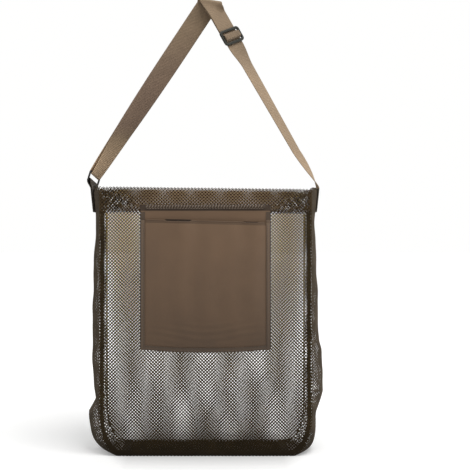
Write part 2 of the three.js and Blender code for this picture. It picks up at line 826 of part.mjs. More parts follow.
// Slider. It sits on the outer face of the right leg. Its own axes are across the strap,
// up the strap and out of the strap, from the strap's outer face.
const slider = new THREE.Group();
const sliderPlace = onPly(rightLeg(SLIDER_AT), half(plyPitch) + half(WEBBING_THICKNESS));
const sliderAcross = sliderPlace.b.clone().sub(sliderPlace.a).normalize();
const sliderOut = sliderPlace.normal;
const sliderUp = point(0, 0, 0).crossVectors(sliderOut, sliderAcross);
slider.quaternion.setFromRotationMatrix(
  new THREE.Matrix4().makeBasis(sliderAcross, sliderUp, sliderOut),
);
slider.position.copy(sliderPlace.a).add(sliderPlace.b).multiplyScalar(0.5);
bag.add(slider);

const slotHalf = half(WEBBING_WIDTH) + SLIDER_WIDTH_PLAY;
const frameHalf = slotHalf + SLIDER_BAR;
const frame = rectangle(
  THREE.Shape,
  -frameHalf + SLIDER_EDGE,
  frameHalf - SLIDER_EDGE,
  -half(SLIDER_LENGTH) + SLIDER_EDGE,
  half(SLIDER_LENGTH) - SLIDER_EDGE,
);
const slotEnd = half(SLIDER_LENGTH) - SLIDER_BAR;
frame.holes.push(
  rectangle(
    THREE.Path,
    -slotHalf - SLIDER_EDGE,
    slotHalf + SLIDER_EDGE,
    -slotEnd - SLIDER_EDGE,
    slotEnd + SLIDER_EDGE,
  ),
);
const frameGeometry = new THREE.ExtrudeGeometry(frame, {
  depth: SLIDER_THICKNESS - 2 * SLIDER_EDGE,
  bevelSize: SLIDER_EDGE,
  bevelThickness: SLIDER_EDGE,
  bevelSegments: 1,
});
frameGeometry.translate(0, 0, SLIDER_EDGE + GAP);
const middleBarHeight = SLIDER_THICKNESS - MIDDLE_BAR_DROP;
const middleBar = new THREE.BoxGeometry(2 * slotHalf + SLIDER_BAR, MIDDLE_BAR, middleBarHeight);
middleBar.translate(0, 0, GAP + half(middleBarHeight));
add("slider_frame", joined(frameGeometry, middleBar), PLASTIC_BLACK, {
  roughness: 0.45,
  parent: slider,
});

// Webbing bent over the middle bar: an arch with this inner half width and inner height,
// whose feet stand just off the strap's face.
function archOver(innerHalf, innerTop) {
  const outerHalf = innerHalf + WEBBING_THICKNESS;
  const outerTop = innerTop + WEBBING_THICKNESS;
  const outerRound = BEND_ROUND + WEBBING_THICKNESS;
  const shoulder = innerHalf - BEND_ROUND;
  const spring = innerTop - BEND_ROUND;
  const arch = new THREE.Shape();
  arch.moveTo(outerHalf, GAP);
  arch.absarc(shoulder, spring, outerRound, 0, half(Math.PI), false);
  arch.absarc(-shoulder, spring, outerRound, half(Math.PI), Math.PI, false);
  arch.lineTo(-outerHalf, GAP);
  arch.lineTo(-innerHalf, GAP);
  arch.absarc(-shoulder, spring, BEND_ROUND, Math.PI, half(Math.PI), true);
  arch.absarc(shoulder, spring, BEND_ROUND, half(Math.PI), 0, true);
  arch.lineTo(innerHalf, GAP);
  arch.closePath();
  const geometry = new THREE.ExtrudeGeometry(arch, {
    depth: WEBBING_WIDTH,
    bevelEnabled: false,
    curveSegments: ARC_STEPS,
  });
  geometry.translate(0, 0, -half(WEBBING_WIDTH));
  return geometry.applyMatrix4(
    new THREE.Matrix4().makeBasis(point(0, 1, 0), point(0, 0, 1), point(1, 0, 0)),
  );
}

const wrapHalf = half(MIDDLE_BAR) + RUN;
const wrapTop = GAP + middleBarHeight + RUN;
add("slider_end_loop", archOver(wrapHalf, wrapTop), WEBBING_TAN, { parent: slider });
add("slider_bight", archOver(wrapHalf + plyPitch, wrapTop + plyPitch), WEBBING_TAN, {
  parent: slider,
});

export default bag;
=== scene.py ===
"""A foraging bag, dressed: netting body, cloth patch pocket, webbing strap, wire ring and slider.

Metres, +Z up, and the front faces -Y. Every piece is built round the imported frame.
"""

import json
import math

import bpy
import numpy as np
from bpy.props import FloatProperty, FloatVectorProperty, PointerProperty
from bpy.types import Operator, Panel, PropertyGroup
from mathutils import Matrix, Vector


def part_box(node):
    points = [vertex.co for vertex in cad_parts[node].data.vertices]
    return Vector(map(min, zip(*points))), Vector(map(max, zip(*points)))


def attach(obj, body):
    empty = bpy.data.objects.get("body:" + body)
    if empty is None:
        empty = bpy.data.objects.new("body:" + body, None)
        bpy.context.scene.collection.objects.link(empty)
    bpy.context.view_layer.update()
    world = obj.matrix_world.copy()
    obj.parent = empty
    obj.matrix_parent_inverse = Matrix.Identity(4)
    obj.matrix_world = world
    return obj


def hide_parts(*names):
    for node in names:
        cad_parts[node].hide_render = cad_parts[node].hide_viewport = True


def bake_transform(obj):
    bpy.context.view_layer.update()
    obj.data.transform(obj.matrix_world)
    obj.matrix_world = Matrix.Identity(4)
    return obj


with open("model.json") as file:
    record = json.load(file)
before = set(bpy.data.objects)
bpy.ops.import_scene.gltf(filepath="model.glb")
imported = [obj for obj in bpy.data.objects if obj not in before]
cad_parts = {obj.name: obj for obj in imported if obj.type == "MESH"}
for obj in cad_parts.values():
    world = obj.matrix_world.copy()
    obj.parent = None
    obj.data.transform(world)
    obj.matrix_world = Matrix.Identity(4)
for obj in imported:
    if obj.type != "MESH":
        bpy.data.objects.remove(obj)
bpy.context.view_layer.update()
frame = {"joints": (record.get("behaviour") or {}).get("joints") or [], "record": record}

bl_info = {
    "name": "Foraging bag",
    "version": (1, 0, 0),
    "blender": (4, 5, 0),
    "location": "3D View > Sidebar > Foraging bag",
    "description": "Builds a netting foraging bag with a cloth pocket and a webbing shoulder strap",
    "category": "Add Mesh",
}


# Sizes, from the frame or chosen to go with it


def corners(node):
    """Lowest and highest corner of a frame node."""
    return [np.array(corner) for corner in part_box(node)]


def entry(entries, name, key="name"):
    """The entry of a list that has a name."""
    return next(found for found in entries if found[key] == name)


def frame_colour(slot):
    """The colour that the frame gives to a material slot."""
    return entry(frame["record"]["materials"], slot, "slot")["base_color"]


GAP = 0.0003
FORWARD = np.array([0.0, -1.0, 0.0])
DEPTHWISE = np.array([0.0, 1.0, 0.0])
UPRIGHT = np.array([0.0, 0.0, 1.0])
SIDES = (("left", -1), ("right", 1))
FACES = (("front", -1), ("back", 1))

# Netting body
NET_THICKNESS = 0.001
FLOOR_CLEAR = 0.0001
CROSSING_LIFT = 0.9
CORNER_RISE = 0.060
panel_low, panel_high = corners("front_net_panel")
HALF_WIDTH = panel_high[0]
RIM = panel_high[2]
BASE_HALF_DEPTH = -panel_low[1]
RIM_HALF_DEPTH = NET_THICKNESS - panel_high[1]
HALF_BASE = corners("base_panel")[1][0] + GAP
CORNER_RUN = HALF_WIDTH - HALF_BASE
HEM_BOTTOM = corners("front_hem")[0][2]
HEM_END = corners("front_hem")[1][0]
HEM_HEIGHT = RIM - HEM_BOTTOM

# The hem: where its turned-in layer starts and how far inside it lies, the length it turns over,
# how far a gusset's hem is drawn in and how far a fold stands proud
HEM_START = 0.0008
HEM_TUCK = 0.0018
HEM_TURN = 0.002
HEM_DRAW = 0.0038
FOLD_PROUD = 0.0030

# Where the slack waves calm down, at the foot and the hem, and how the rim tilts
FOOT_CALM = 0.05
HEM_CALM = 0.6
HEM_CALM_FROM = HEM_BOTTOM - 0.02
RIM_TILT = 0.002
RIM_TILT_FROM = HEM_BOTTOM - 0.05
GUSSET_CALM_TO = HEM_HEIGHT + 0.03

# Gussets and seam tapes, left or front as -1 and right or back as 1
GUSSET_HALF_FLAT = 0.047
GUSSET_ROUND = 2.4
CORNER_SQUARENESS = {-1: 0.7, 1: 0.5}
TAPE_LEAN = {-1: math.radians(35), 1: math.radians(12)}
SEAM_TAPE_WIDTH = 0.008
SEAM_TAPE = 0.0014
BASE_TAPE = 0.0012
TAPE_PUCKER = 0.0003
PUCKER_PITCH = 0.0093

# Slack waves of a panel: share, wave lengths across and up, and turn
PANEL_WAVES = ((1.0, 0.118, 0.205, 1.0), (0.7, 0.071, -0.137, 2.1), (0.5, 0.190, 0.083, -0.7))

# Slack waves of a gusset: share, wave length down it, lean across it and turn
GUSSET_WAVES = ((1.0, 0.074, 0.35, 1.0), (0.6, 0.041, -0.8, 2.0))

# How far each gusset bows out at a height, from the rim down. The left one is drawn in at a
# crease above its lower corner, and the right one sags over a fold.
GUSSET_BOWS = {
    -1: [
        (0.402, 0.0130), (0.366, 0.0092), (0.348, 0.0085), (0.290, 0.0122), (0.190, 0.0144),
        (0.130, 0.0140), (0.098, 0.0118), (0.080, 0.0086), (0.068, 0.0150), (0.060, 0.0195),
    ],
    1: [
        (0.402, 0.0130), (0.366, 0.0092), (0.352, 0.0078), (0.338, 0.0085), (0.308, 0.0100),
        (0.245, 0.0128), (0.168, 0.0146), (0.154, 0.0195), (0.121, 0.0212), (0.091, 0.0205),
        (0.072, 0.0150), (0.060, 0.0100),
    ],
}

# Tension folds of the front mouth hem, from each strap corner towards the pocket, as start,
# end, half width and how much of the netting they take up
HEM_FOLDS = [
    ((-0.158, 0.397), (-0.100, 0.374), 0.0046, 1.75),
    ((-0.160, 0.386), (-0.120, 0.370), 0.0036, 1.45),
    ((0.160, 0.396), (0.104, 0.372), 0.0046, 1.75),
    ((0.160, 0.383), (0.126, 0.369), 0.0034, 1.4),
]

# Pocket
CLOTH = 0.0008
pocket_low, pocket_high = corners("pocket_backing")
HALF_POCKET = pocket_high[0]
POCKET_BOTTOM = pocket_low[2]
POCKET_TOP = pocket_high[2]
POCKET_MOUTH = corners("pocket_front")[1][2]
POCKET_FRONT_HEIGHT = POCKET_MOUTH - POCKET_BOTTOM
POCKET_CALM = 0.012
POCKET_DIP = 0.0048
DIP_POWER = 2.2
POCKET_RISE = 0.085

# The pocket's edging
EDGE_WIDTH = HALF_POCKET + corners("pocket_left_binding")[1][0]
EDGE_STOP = 0.0105
EDGE_PUCKER = 0.0002
EDGE_PUCKER_PITCH = 0.011
TOP_EDGE_SWAY = 0.0002
TOP_EDGE_SWAY_PITCH = 0.013
TOP_EDGE_SAG = 0.0004
TOP_EDGE_SAG_PITCH = 0.061

# The pocket's mouth, its bottom hem and its backing
MOUTH_DROP = 0.0018
MOUTH_LEVEL = POCKET_MOUTH - MOUTH_DROP
MOUTH_SLANT = 0.024
MOUTH_STRIP = 0.0046
MOUTH_HEM = 0.012
MOUTH_GAPE = 0.0030
MOUTH_GAPE_FROM = POCKET_MOUTH - 0.035
MOUTH_ROLL_WIDTH = 0.0026
MOUTH_ROLL_DEPTH = 0.0018
MOUTH_ROLL_BACK = 0.0004
BOTTOM_HEM = 0.007
BACKING_SLACK = 0.0006
BACKING_WAVE = 0.083
BACKING_SLACK_FROM = POCKET_MOUTH - 0.01

# Where the mouth sags: depth, middle, half width and edge
MOUTH_SAGS = ((0.0018, -0.041, 0.023, 0.007), (0.0012, 0.068, 0.014, 0.006))

# Where the mouth stands open: share, middle and width
MOUTH_GAPES = ((1.0, -0.045, 0.022), (0.7, 0.070, 0.018))

# Wrinkles that rise up the cloth: pitch, sway, height of the sway and turn
BROAD_WRINKLE = (0.061, 0.16, 0.031, 0.0)
NARROW_WRINKLE = (0.037, -0.1, 0.023, 1.3)
BROAD_WRINKLE_HEIGHTS = (0.19, 0.30)
NARROW_SHARE = 0.6
LEVEL_SHARE = 0.8

# Wrinkles along the bottom: pitch, sway and width of the sway, and where they lie
LEVEL_WRINKLE = (0.0105, 0.55, 0.028)
LEVEL_RISE = 0.024
LEVEL_SPREAD = 0.018

# Strap, ring and slider
WEBBING_WIDTH = 0.032
HALF_STRAP = WEBBING_WIDTH / 2
WEBBING = 0.0014
PLY_PITCH = WEBBING + GAP
WRAP_CLEAR = 0.00035
LAP = 0.0006
SEWN_X = corners("strap_right_end")[1][0] - WEBBING / 2
LOWER_BAR = np.array(entry(frame["joints"], "ring_turn")["pos_m"], float)
BARWAY = np.array(entry(frame["joints"], "ring_turn")["axis"], float)
BARWAY /= np.linalg.norm(BARWAY)

# Ring and the webbing round it
RING_WIRE = 0.003
RING_PITCH = 0.013
RING_CORNER = 0.0024
RING_LEAN = math.radians(12)
RING_CLEAR = 0.0008
RING_HALF_INSIDE = HALF_STRAP + RING_CLEAR
RING_LIFT = LOWER_BAR[2] - RIM
BAR_SPREAD = RING_WIRE / 2 + WRAP_CLEAR + WEBBING / 2
PLY_CLOSE = 0.090
LOOP_LENGTH = 0.045
WRAP_LENGTH = 0.010
OPENING_POWER = 2.5

# Fold at the top and its crease
FOLD_RADIUS = 0.0025
FOLD_SLIDE = 0.004
FOLD = np.array(entry(frame["record"]["mounts"], "strap_hang")["pos_m"], float)
FOLD += FOLD_RADIUS * UPRIGHT
FOLD_MIDDLE = FOLD_RADIUS + WEBBING + GAP / 2
CREASE_TILT = math.radians(9)
CREASE_REACH = 0.0175
CREASE_HALF = CREASE_REACH * np.array([math.cos(CREASE_TILT), 0, -math.sin(CREASE_TILT)])
CREASE_BLEND = 0.022

# Right leg, how it turns from the fold to its root, and the root
RIGHT_ALONG = -np.array(entry(frame["joints"], "slider_slide")["axis"], float)
ROOT_HEIGHT = 0.028
RIGHT_LOW = entry(frame["joints"], "strap_swing")["pos_m"][2] + ROOT_HEIGHT
ROOT_BEND = 0.009
TURN_TOP, TURN_MID, TURN_LOW = (math.radians(angle) for angle in (54, 36, 28))
TURN_START, TURN_END = 0.076, 0.114

# Slider, as a length down the right leg, and the webbing over its middle bar
SLIDER_AT = 0.061
SLIDER_HALF_LENGTH = 0.0125
SLIDER_BAR = 0.0044
SLIDER_THICKNESS = 0.0032
SLIDER_CORNER = 0.0034
MIDDLE_BAR = 0.0032
MIDDLE_BAR_HEIGHT = 0.0018
SLOT_HALF = HALF_STRAP + GAP
BIGHT_LEAN = math.radians(27.0)
BIGHT_ROUND = 0.0008

# One face of the webbing, edge to edge: place, firmness and how much of the ribs shows
WEBBING_ACROSS = np.array([-1.0, -0.975, -0.90, -0.45, 0.0, 0.45, 0.90, 0.975, 1.0])
WEBBING_FIRM = np.array([0.35, 0.85, 1.0, 1.0, 1.0, 1.0, 1.0, 0.85, 0.35])
WEBBING_RIBBED = np.array([0.0, 0.3, 0.8, 1.0, 1.0, 1.0, 0.8, 0.3, 0.0])

# The same of tape, without ribs
TAPE_ACROSS = np.array([-1.0, -0.85, -0.3, 0.3, 0.85, 1.0])
TAPE_FIRM = np.array([0.5, 1.0, 0.8, 0.8, 1.0, 0.5])

# Sewing: threads, lengths of stitches, how far they stand off and where the rows lie
HEM_THREAD = 0.0007
EDGE_THREAD = 0.0005
NEEDLE_THREAD = 0.0006
LOOP_THREAD = 0.0011
STITCH = 0.0028
STITCH_GAP = 0.0013
EDGE_STITCH = 0.0024
BOX_STITCH = 0.0026
HEM_STITCH_LIFT = 0.0008
EDGE_STITCH_LIFT = 0.0002
HEM_ROW = 0.003
EDGE_ROW = 0.0012
BOX_HALF = 0.0125
BOX_INSET = 0.004
STRAP_CLEAR = 0.001
OVERLOCK_INSET = 0.001
OVERLOCK_STOP = 0.004
OVERLOCK_PITCH = 0.0043
OVERLOCK_LEAN = 0.0022
OVERLOCK_STITCH = 0.0044
OVERLOCK_GAP = 0.0001
OVERLOCK_FOOT = 0.0016
OVERLOCK_HEAD = 0.0004
NEEDLE_ROW = 0.0006

# A stitch at five places along it: share of its length, rise and radius by the thread
STITCH_AT = np.array([0.0, 0.12, 0.5, 0.88, 1.0])
STITCH_RISE = np.array([-0.3, 0.15, 0.35, 0.15, -0.3])
STITCH_ROUND = np.array([0.55, 1.0, 1.0, 1.0, 0.55])

# Fineness of the meshes
STRAND_STEP = 0.009
SURFACE_STEP = 0.0001
RIB_STEPS = 4
KEY_STEP = 0.003
TURN_STEP = 0.0015
TAPE_STEP = 0.0025
OUTLINE_STEP = 0.004
CORNER_STEPS = 7
FOLD_STEP = 0.2
SHARP_ANGLE = math.radians(50)

# How much of its place on the texture map a strand fills, and of its length an end wall
STRIP_SHARE = 0.9
WALL_SHARE = 0.002

# Heights between which light from the mouth reaches the netting and the tapes
LIGHT_FALL = (0.06, 0.31)
TAPE_LIGHT_FALL = (0.06, 0.24)

# Heights of the painted light and shade on the webbing: a painted highlight near the ring, painted shade
# half-way up the left leg and painted light on the right leg
RING_HIGHLIGHT = (0.436, 0.486)
LEFT_LEG_SHADE = (0.480, 0.500, 0.560, 0.660)
RIGHT_LEG_LIGHT = (0.420, 0.470, 0.575, 0.600)

# Stage: lamps as name, power setting, size, place and what it looks at
LAMPS = (
    ("main_lamp", "key_power", 1.3, (0.6, -0.8, 2.35), (0.0, 0.0, 0.36)),
    ("fill_lamp", "fill_power", 1.2, (-1.5, -1.0, 0.9), (0.0, 0.0, 0.3)),
    ("side_lamp", "side_power", 1.0, (1.5, -0.5, 0.75), (0.1, 0.0, 0.45)),
)
SKY_COLOUR = (1.0, 1.0, 0.995, 1.0)
CAMERA_HEIGHT = 0.3308
CAMERA_SHIFT = 0.0628
SENSOR_WIDTH = 36.0
FLOOR_REACH = 14.0

# The floor's glow by distance from the base and from the middle: two distances and their glows. Close to the
# base the glow is gone, a painted shade round the foot
FOOT_SHADE_GLOW = (0.046, 0.120, 0.0, 0.29)
FAR_GLOW = (0.05, 0.9, 0.0, 0.43)

# What lies beside the base counts as further from it, so the painted shade stays before and behind the base:
# two places across and what they add
BESIDE_BASE = (0.115, 0.175, 0.0, 0.12)


# Numbers and vectors


def mix(first, last, share):
    """A value between two others."""
    return first + (last - first) * share


def ease(value, low, high):
    """Smooth step from 0 at low to 1 at high."""
    share = np.clip((value - low) / (high - low), 0.0, 1.0)
    return share * share * (3.0 - 2.0 * share)


def unit(vectors):
    """Vectors scaled to length 1."""
    return vectors / np.linalg.norm(vectors, axis=-1, keepdims=True)


def hump(value, middle, width):
    """A smooth bump of height 1."""
    return np.exp(-(((value - middle) / width) ** 2))


def turns(count):
    """An angle from a count of whole turns."""
    return 2 * math.pi * count


def spaced(first, last, step=KEY_STEP):
    """Numbers from first to last, about a step apart."""
    return np.linspace(first, last, max(2, math.ceil(abs(last - first) / step) + 1))


def path_lengths(points):
    """Length along a row of points, up to each of them."""
    return np.concatenate([[0.0], np.cumsum(np.linalg.norm(np.diff(points, axis=0), axis=1))])


def resampled(at, lengths, values):
    """Rows of values at new lengths along a row of points."""
    return np.stack([np.interp(at, lengths, column) for column in values.T], axis=1)


def darker(colour, share):
    """A colour scaled down or up."""
    return tuple(min(1.0, channel * share) for channel in colour)


def settings():
    """The bag's settings in the scene."""
    return bpy.context.scene.foraging_bag


# Meshes


def loft(sections, along, around, closed=False):
    """Quads through a row of like sections, walled at both ends unless the row closes.

    along has a texture place for each section, and around one for each point and the first again.
    """
    rows, count = sections.shape[:2]
    row = np.arange(rows if closed else rows - 1)[:, None]
    column = np.arange(count)[None, :]
    below, right = (row + 1) % rows, (column + 1) % count
    quad = ((row, column), (row, right), (below, right), (below, column))
    quads = np.stack([r * count + c for r, c in quad], axis=-1).reshape(-1, 4)
    u = np.stack([along[row + k] + 0 * column for k in (0, 0, 1, 1)], axis=-1)
    v = np.stack([around[column + k] + 0 * row for k in (0, 1, 1, 0)], axis=-1)
    places = np.stack([u, v], axis=-1).reshape(-1, 4, 2)
    if not closed:
        step = np.arange(count // 2 - 1)
        wall = np.stack([step, count - 1 - step, count - 2 - step, step + 1], axis=-1)
        wall_v = around[wall]
        span = (along[-1] - along[0]) * WALL_SHARE
        for start, face, edge in ((0, wall, along[0]), ((rows - 1) * count, wall[:, ::-1], along[-1])):
            quads = np.concatenate([quads, face + start])
            wall_u = edge + span * np.array([0.0, 1.0, 1.0, 0.0]) + 0 * wall_v
            places = np.concatenate([places, np.stack([wall_u, wall_v], axis=-1)])
    points = sections.reshape(-1, 3)
    corner = points[quads]
    first, second, third = (corner[:, k] - corner[:, 0] for k in (1, 2, 3))
    spread = np.cross(first, second) + np.cross(second, third)
    if np.sum(spread * (corner.mean(axis=1) - points.mean(axis=0))) < 0:
        quads, places = quads[:, ::-1], places[:, ::-1]
    return points, quads, places


def rounded_tube(path, out, width, height, closed=True, sides=12, power=3.0):
    """A tube of rounded rectangular section along a path. out is the direction of its height."""
    ahead = np.roll(path, -1, axis=0) if closed else np.concatenate([path[1:], path[-1:]])
    behind = np.roll(path, 1, axis=0) if closed else np.concatenate([path[:1], path[:-1]])
    tangent = unit(ahead - behind)
    rise = unit(out - tangent * np.sum(out * tangent, axis=1, keepdims=True))
    side = np.cross(tangent, rise)
    angle = np.arange(sides) * 2 * math.pi / sides + math.pi / sides
    level, steep = np.cos(angle), np.sin(angle)
    reach = (np.abs(level) ** power + np.abs(steep) ** power) ** (-1 / power)
    across, up = reach * level * width / 2, reach * steep * height / 2
    sections = path[:, None] + side[:, None] * across[None, :, None] + rise[:, None] * up[None, :, None]
    along = path_lengths(np.concatenate([path, path[:1]]))
    around = np.linspace(0.0, 2 * (width + height), sides + 1)
    return loft(sections, along if closed else along[:-1], around, closed)


def strip(along, middle, reach, normal, across, thickness, half_width):
    """A flat strip along its middle, from the section's places across it and their thickness."""
    face = middle[:, None] + reach[:, None] * across[None, :, None]
    lift = normal[:, None] * thickness[..., None]
    sections = np.concatenate([face + lift, (face - lift)[:, ::-1]], axis=1)
    around = np.concatenate([across, across[::-1], across[:1]]) * half_width
    return loft(sections, along, around)


def webbing_strip(places):
    """A webbing mesh along places: ribbed faces, firm selvedges and thin edges."""
    pitch, depth = settings().strap.rib_pitch, settings().strap.rib_depth
    columns = [np.array(column) for column in zip(*places)]
    lengths = path_lengths(columns[0])
    along = np.linspace(0.0, lengths[-1], max(6, int(round(lengths[-1] / pitch * RIB_STEPS)) + 1))
    middle, reach, normal = (resampled(along, lengths, values) for values in columns)
    tilt = np.sum(normal * reach, 1, keepdims=True) / np.sum(reach**2, 1, keepdims=True)
    groove = 0.5 - 0.5 * np.cos(turns(along / pitch))
    thickness = WEBBING / 2 * (WEBBING_FIRM[None] - depth * groove[:, None] * WEBBING_RIBBED[None])
    return strip(along, middle, reach, unit(normal - reach * tilt), WEBBING_ACROSS, thickness, HALF_STRAP)


def tape_strip(places, thickness):
    """A flat tape along places, puckered by its seam."""
    columns = [np.array(column) for column in zip(*places)]
    lengths = path_lengths(columns[0])
    along = np.linspace(0.0, lengths[-1], max(4, int(lengths[-1] / TAPE_STEP) + 1))
    middle, reach, normal = (resampled(along, lengths, values) for values in columns)
    normal = unit(normal)
    middle = middle + normal * (TAPE_PUCKER * np.sin(turns(along / PUCKER_PITCH)))[:, None]
    half_width = np.linalg.norm(reach[0])
    return strip(along, middle, reach, normal, TAPE_ACROSS, TAPE_FIRM[None] * thickness / 2, half_width)


def layer(x, y, z, lift=0.0):
    """A cloth layer in front of a surface y, at a lift from it."""
    face = np.stack([x, y - lift - CLOTH, z], axis=-1)
    back = np.stack([x, y - lift, z], axis=-1)
    rows, columns = face.shape[:2]
    around = np.linspace(0.0, 1.0, 2 * columns + 1)
    return loft(np.concatenate([face, back[:, ::-1]], axis=1), np.linspace(0.0, 1.0, rows), around)


def rounded_outline(half_across, half_up, radius):
    """Points round a rectangle with round corners, its sides cut into steps."""
    points = []
    for quarter, (x, y) in enumerate(((1, 1), (-1, 1), (-1, -1), (1, -1))):
        for angle in np.linspace(0.0, math.pi / 2, CORNER_STEPS) + quarter * math.pi / 2:
            centre = np.array([x * (half_across - radius), y * (half_up - radius)])
            points.append(centre + radius * np.array([math.cos(angle), math.sin(angle)]))
    outline = []
    for first, last in zip(points, points[1:] + points[:1]):
        pieces = max(1, int(np.linalg.norm(last - first) / OUTLINE_STEP))
        outline += [mix(first, last, k / pieces) for k in range(pieces)]
    return np.array(outline)


def stitches(points, outward, thread, length=STITCH, gap=STITCH_GAP):
    """Short arched stitches along a line, on the side that outward points to."""
    points = np.asarray(points, float)
    outward = np.broadcast_to(np.asarray(outward, float), points.shape)
    lengths = path_lengths(points)
    angle = (np.arange(6) * math.pi / 3)[None, :, None]
    radius = (thread / 2 * STITCH_ROUND)[:, None, None]
    parts = []
    for start in np.arange(gap / 2, lengths[-1] - length, length + gap):
        at = start + length * STITCH_AT
        rise = unit(resampled(at, lengths, outward))
        middle = resampled(at, lengths, points) + rise * (thread * STITCH_RISE)[:, None]
        side = unit(np.cross(np.gradient(middle, axis=0), rise))
        circle = side[:, None] * np.cos(angle) + rise[:, None] * np.sin(angle)
        parts.append(loft(middle[:, None] + radius * circle, at, np.linspace(0.0, math.pi * thread, 7)))
    return parts


def add_object(name, data):
    """A new object in the scene."""
    obj = bpy.data.objects.new(name, data)
    bpy.context.scene.collection.objects.link(obj)
    return obj


def make_piece(name, parts, finish, body, slot, node=None, texture_map="weave"):
    """Joins lofted parts into one object that rides on a body and may stand for a node of the frame."""
    offsets = np.cumsum([0] + [len(part[0]) for part in parts])
    points = np.concatenate([part[0] for part in parts])
    quads = np.concatenate([part[1] + start for part, start in zip(parts, offsets)])
    places = np.concatenate([part[2] for part in parts])
    if not np.isfinite(points).all():
        raise RuntimeError(f"{name} has a point that is not a number")
    mesh = bpy.data.meshes.new(name)
    mesh.from_pydata(points.tolist(), [], quads.tolist())
    texture = mesh.uv_layers.new(name=texture_map)
    texture.data.foreach_set("uv", places.reshape(-1).astype(np.float32))
    mesh.shade_smooth()
    mesh.set_sharp_from_angle(angle=SHARP_ANGLE)
    mesh.materials.append(finish)
    obj = add_object(name, mesh)
    if node:
        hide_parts(node)
    if body:
        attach(obj, body)
    return obj


def add_webbing(name, runs, finish, body, node=None, slot="webbing"):
    """One piece of webbing along one or more runs of places."""
    return make_piece(name, [webbing_strip(run) for run in runs], finish, body, slot, node)


# Finishes


def socket_name(word):
    """A shader socket's own name from a plain word."""
    return word.replace("_", " ").title().replace("Ior", "IOR")


class Nodes:
    """A node tree, with a plain word for each kind of node."""

    def __init__(self, tree):
        self.tree = tree

    def feed(self, target, value):
        """Links an input to a socket, or sets its value."""
        if isinstance(value, bpy.types.NodeSocket):
            self.tree.links.new(value, target)
        else:
            target.default_value = value

    def node(self, kind, inputs, **choices):
        """Adds a node with its choices and inputs."""
        made = self.tree.nodes.new(kind)
        for key, value in choices.items():
            setattr(made, key, value)
        for key, value in inputs.items():
            self.feed(made.inputs[key], value)
        return made

    def place(self):
        """Places on the object, in metres."""
        return self.node("ShaderNodeTexCoord", {}).outputs["Object"]

    def woven_place(self):
        """Places along and across the webbing, in metres."""
        return self.node("ShaderNodeUVMap", {}, uv_map="weave").outputs["UV"]

    def axis(self, vector, name):
        """One part of a place."""
        return self.node("ShaderNodeSeparateXYZ", {"Vector": vector}).outputs[name]

    def off_middle(self, vector, name):
        """How far a place lies from the middle along an axis."""
        return self.sums("ABSOLUTE", self.axis(vector, name), 0.0)

    def looking(self, axis, sign):
        """1 on faces that look along an axis of the object, 0 on the others."""
        normal = self.node("ShaderNodeTexCoord", {}).outputs["Normal"]
        return self.span(self.axis(normal, axis), 0.15 * sign, 0.6 * sign, 0.0, 1.0)

    def seen_directly(self):
        """1 for what the camera, a gloss or a clear surface shows, and 0 for light on the object."""
        path = self.node("ShaderNodeLightPath", {}).outputs
        shown = self.sums("MAXIMUM", path["Is Camera Ray"], path["Is Glossy Ray"])
        return self.sums("MAXIMUM", shown, path["Is Transmission Ray"])

    def noise(self, vector, scale, detail):
        """Soft noise from 0 to 1."""
        inputs = {"Vector": vector, "Scale": scale, "Detail": detail}
        return self.node("ShaderNodeTexNoise", inputs).outputs["Fac"]

    def sums(self, operation, first, second):
        """One sum on two numbers."""
        return self.node("ShaderNodeMath", {0: first, 1: second}, operation=operation).outputs["Value"]

    def plus(self, first, second):
        """Two numbers added."""
        return self.sums("ADD", first, second)

    def times(self, first, *others):
        """Numbers multiplied."""
        for other in others:
            first = self.sums("MULTIPLY", first, other)
        return first

    def wave(self, position, pitch):
        """A wave between -1 and 1 that repeats at a pitch."""
        return self.sums("SINE", self.times(position, turns(1) / pitch), 0.0)

    def span(self, value, low, high, first, last):
        """A value moved from one range to another."""
        inputs = {"Value": value, "From Min": low, "From Max": high, "To Min": first, "To Max": last}
        return self.node("ShaderNodeMapRange", inputs).outputs["Result"]

    def shade(self, value, colour, *stops):
        """Tones of a colour by value, from places and shares of the colour."""
        ramp = self.node("ShaderNodeValToRGB", {"Fac": value})
        elements = ramp.color_ramp.elements
        while len(elements) < len(stops):
            elements.new(1.0)
        for element, (position, share) in zip(elements, stops):
            element.position = position
            element.color = (*darker(colour, share), 1.0)
        return ramp.outputs["Color"]

    def tint(self, tone, value, colour):
        """A tone mixed with a colour by a value."""
        mixer = self.node("ShaderNodeMix", {}, data_type="RGBA")
        for name, source in (("Factor", value), ("A", tone), ("B", (*colour, 1.0))):
            self.feed(next(i for i in mixer.inputs if i.name == name and i.enabled), source)
        return next(o for o in mixer.outputs if o.enabled)

    def relief(self, height, distance, strength):
        """Bump from a height."""
        inputs = {"Height": height, "Distance": distance, "Strength": strength}
        return self.node("ShaderNodeBump", inputs).outputs["Normal"]


class Finish(Nodes):
    """A node material round one principled shader."""

    def __init__(self, name, **constants):
        self.material = bpy.data.materials.new(name)
        self.material.use_nodes = True
        super().__init__(self.material.node_tree)
        self.tree.nodes.clear()
        self.shader = self.node("ShaderNodeBsdfPrincipled", {})
        self.node("ShaderNodeOutputMaterial", {"Surface": self.shader.outputs["BSDF"]})
        self.done(**constants)

    def done(self, **sockets):
        """Feeds the shader's sockets and returns the material."""
        for socket, value in sockets.items():
            self.feed(self.shader.inputs[socket_name(socket)], value)
        return self.material


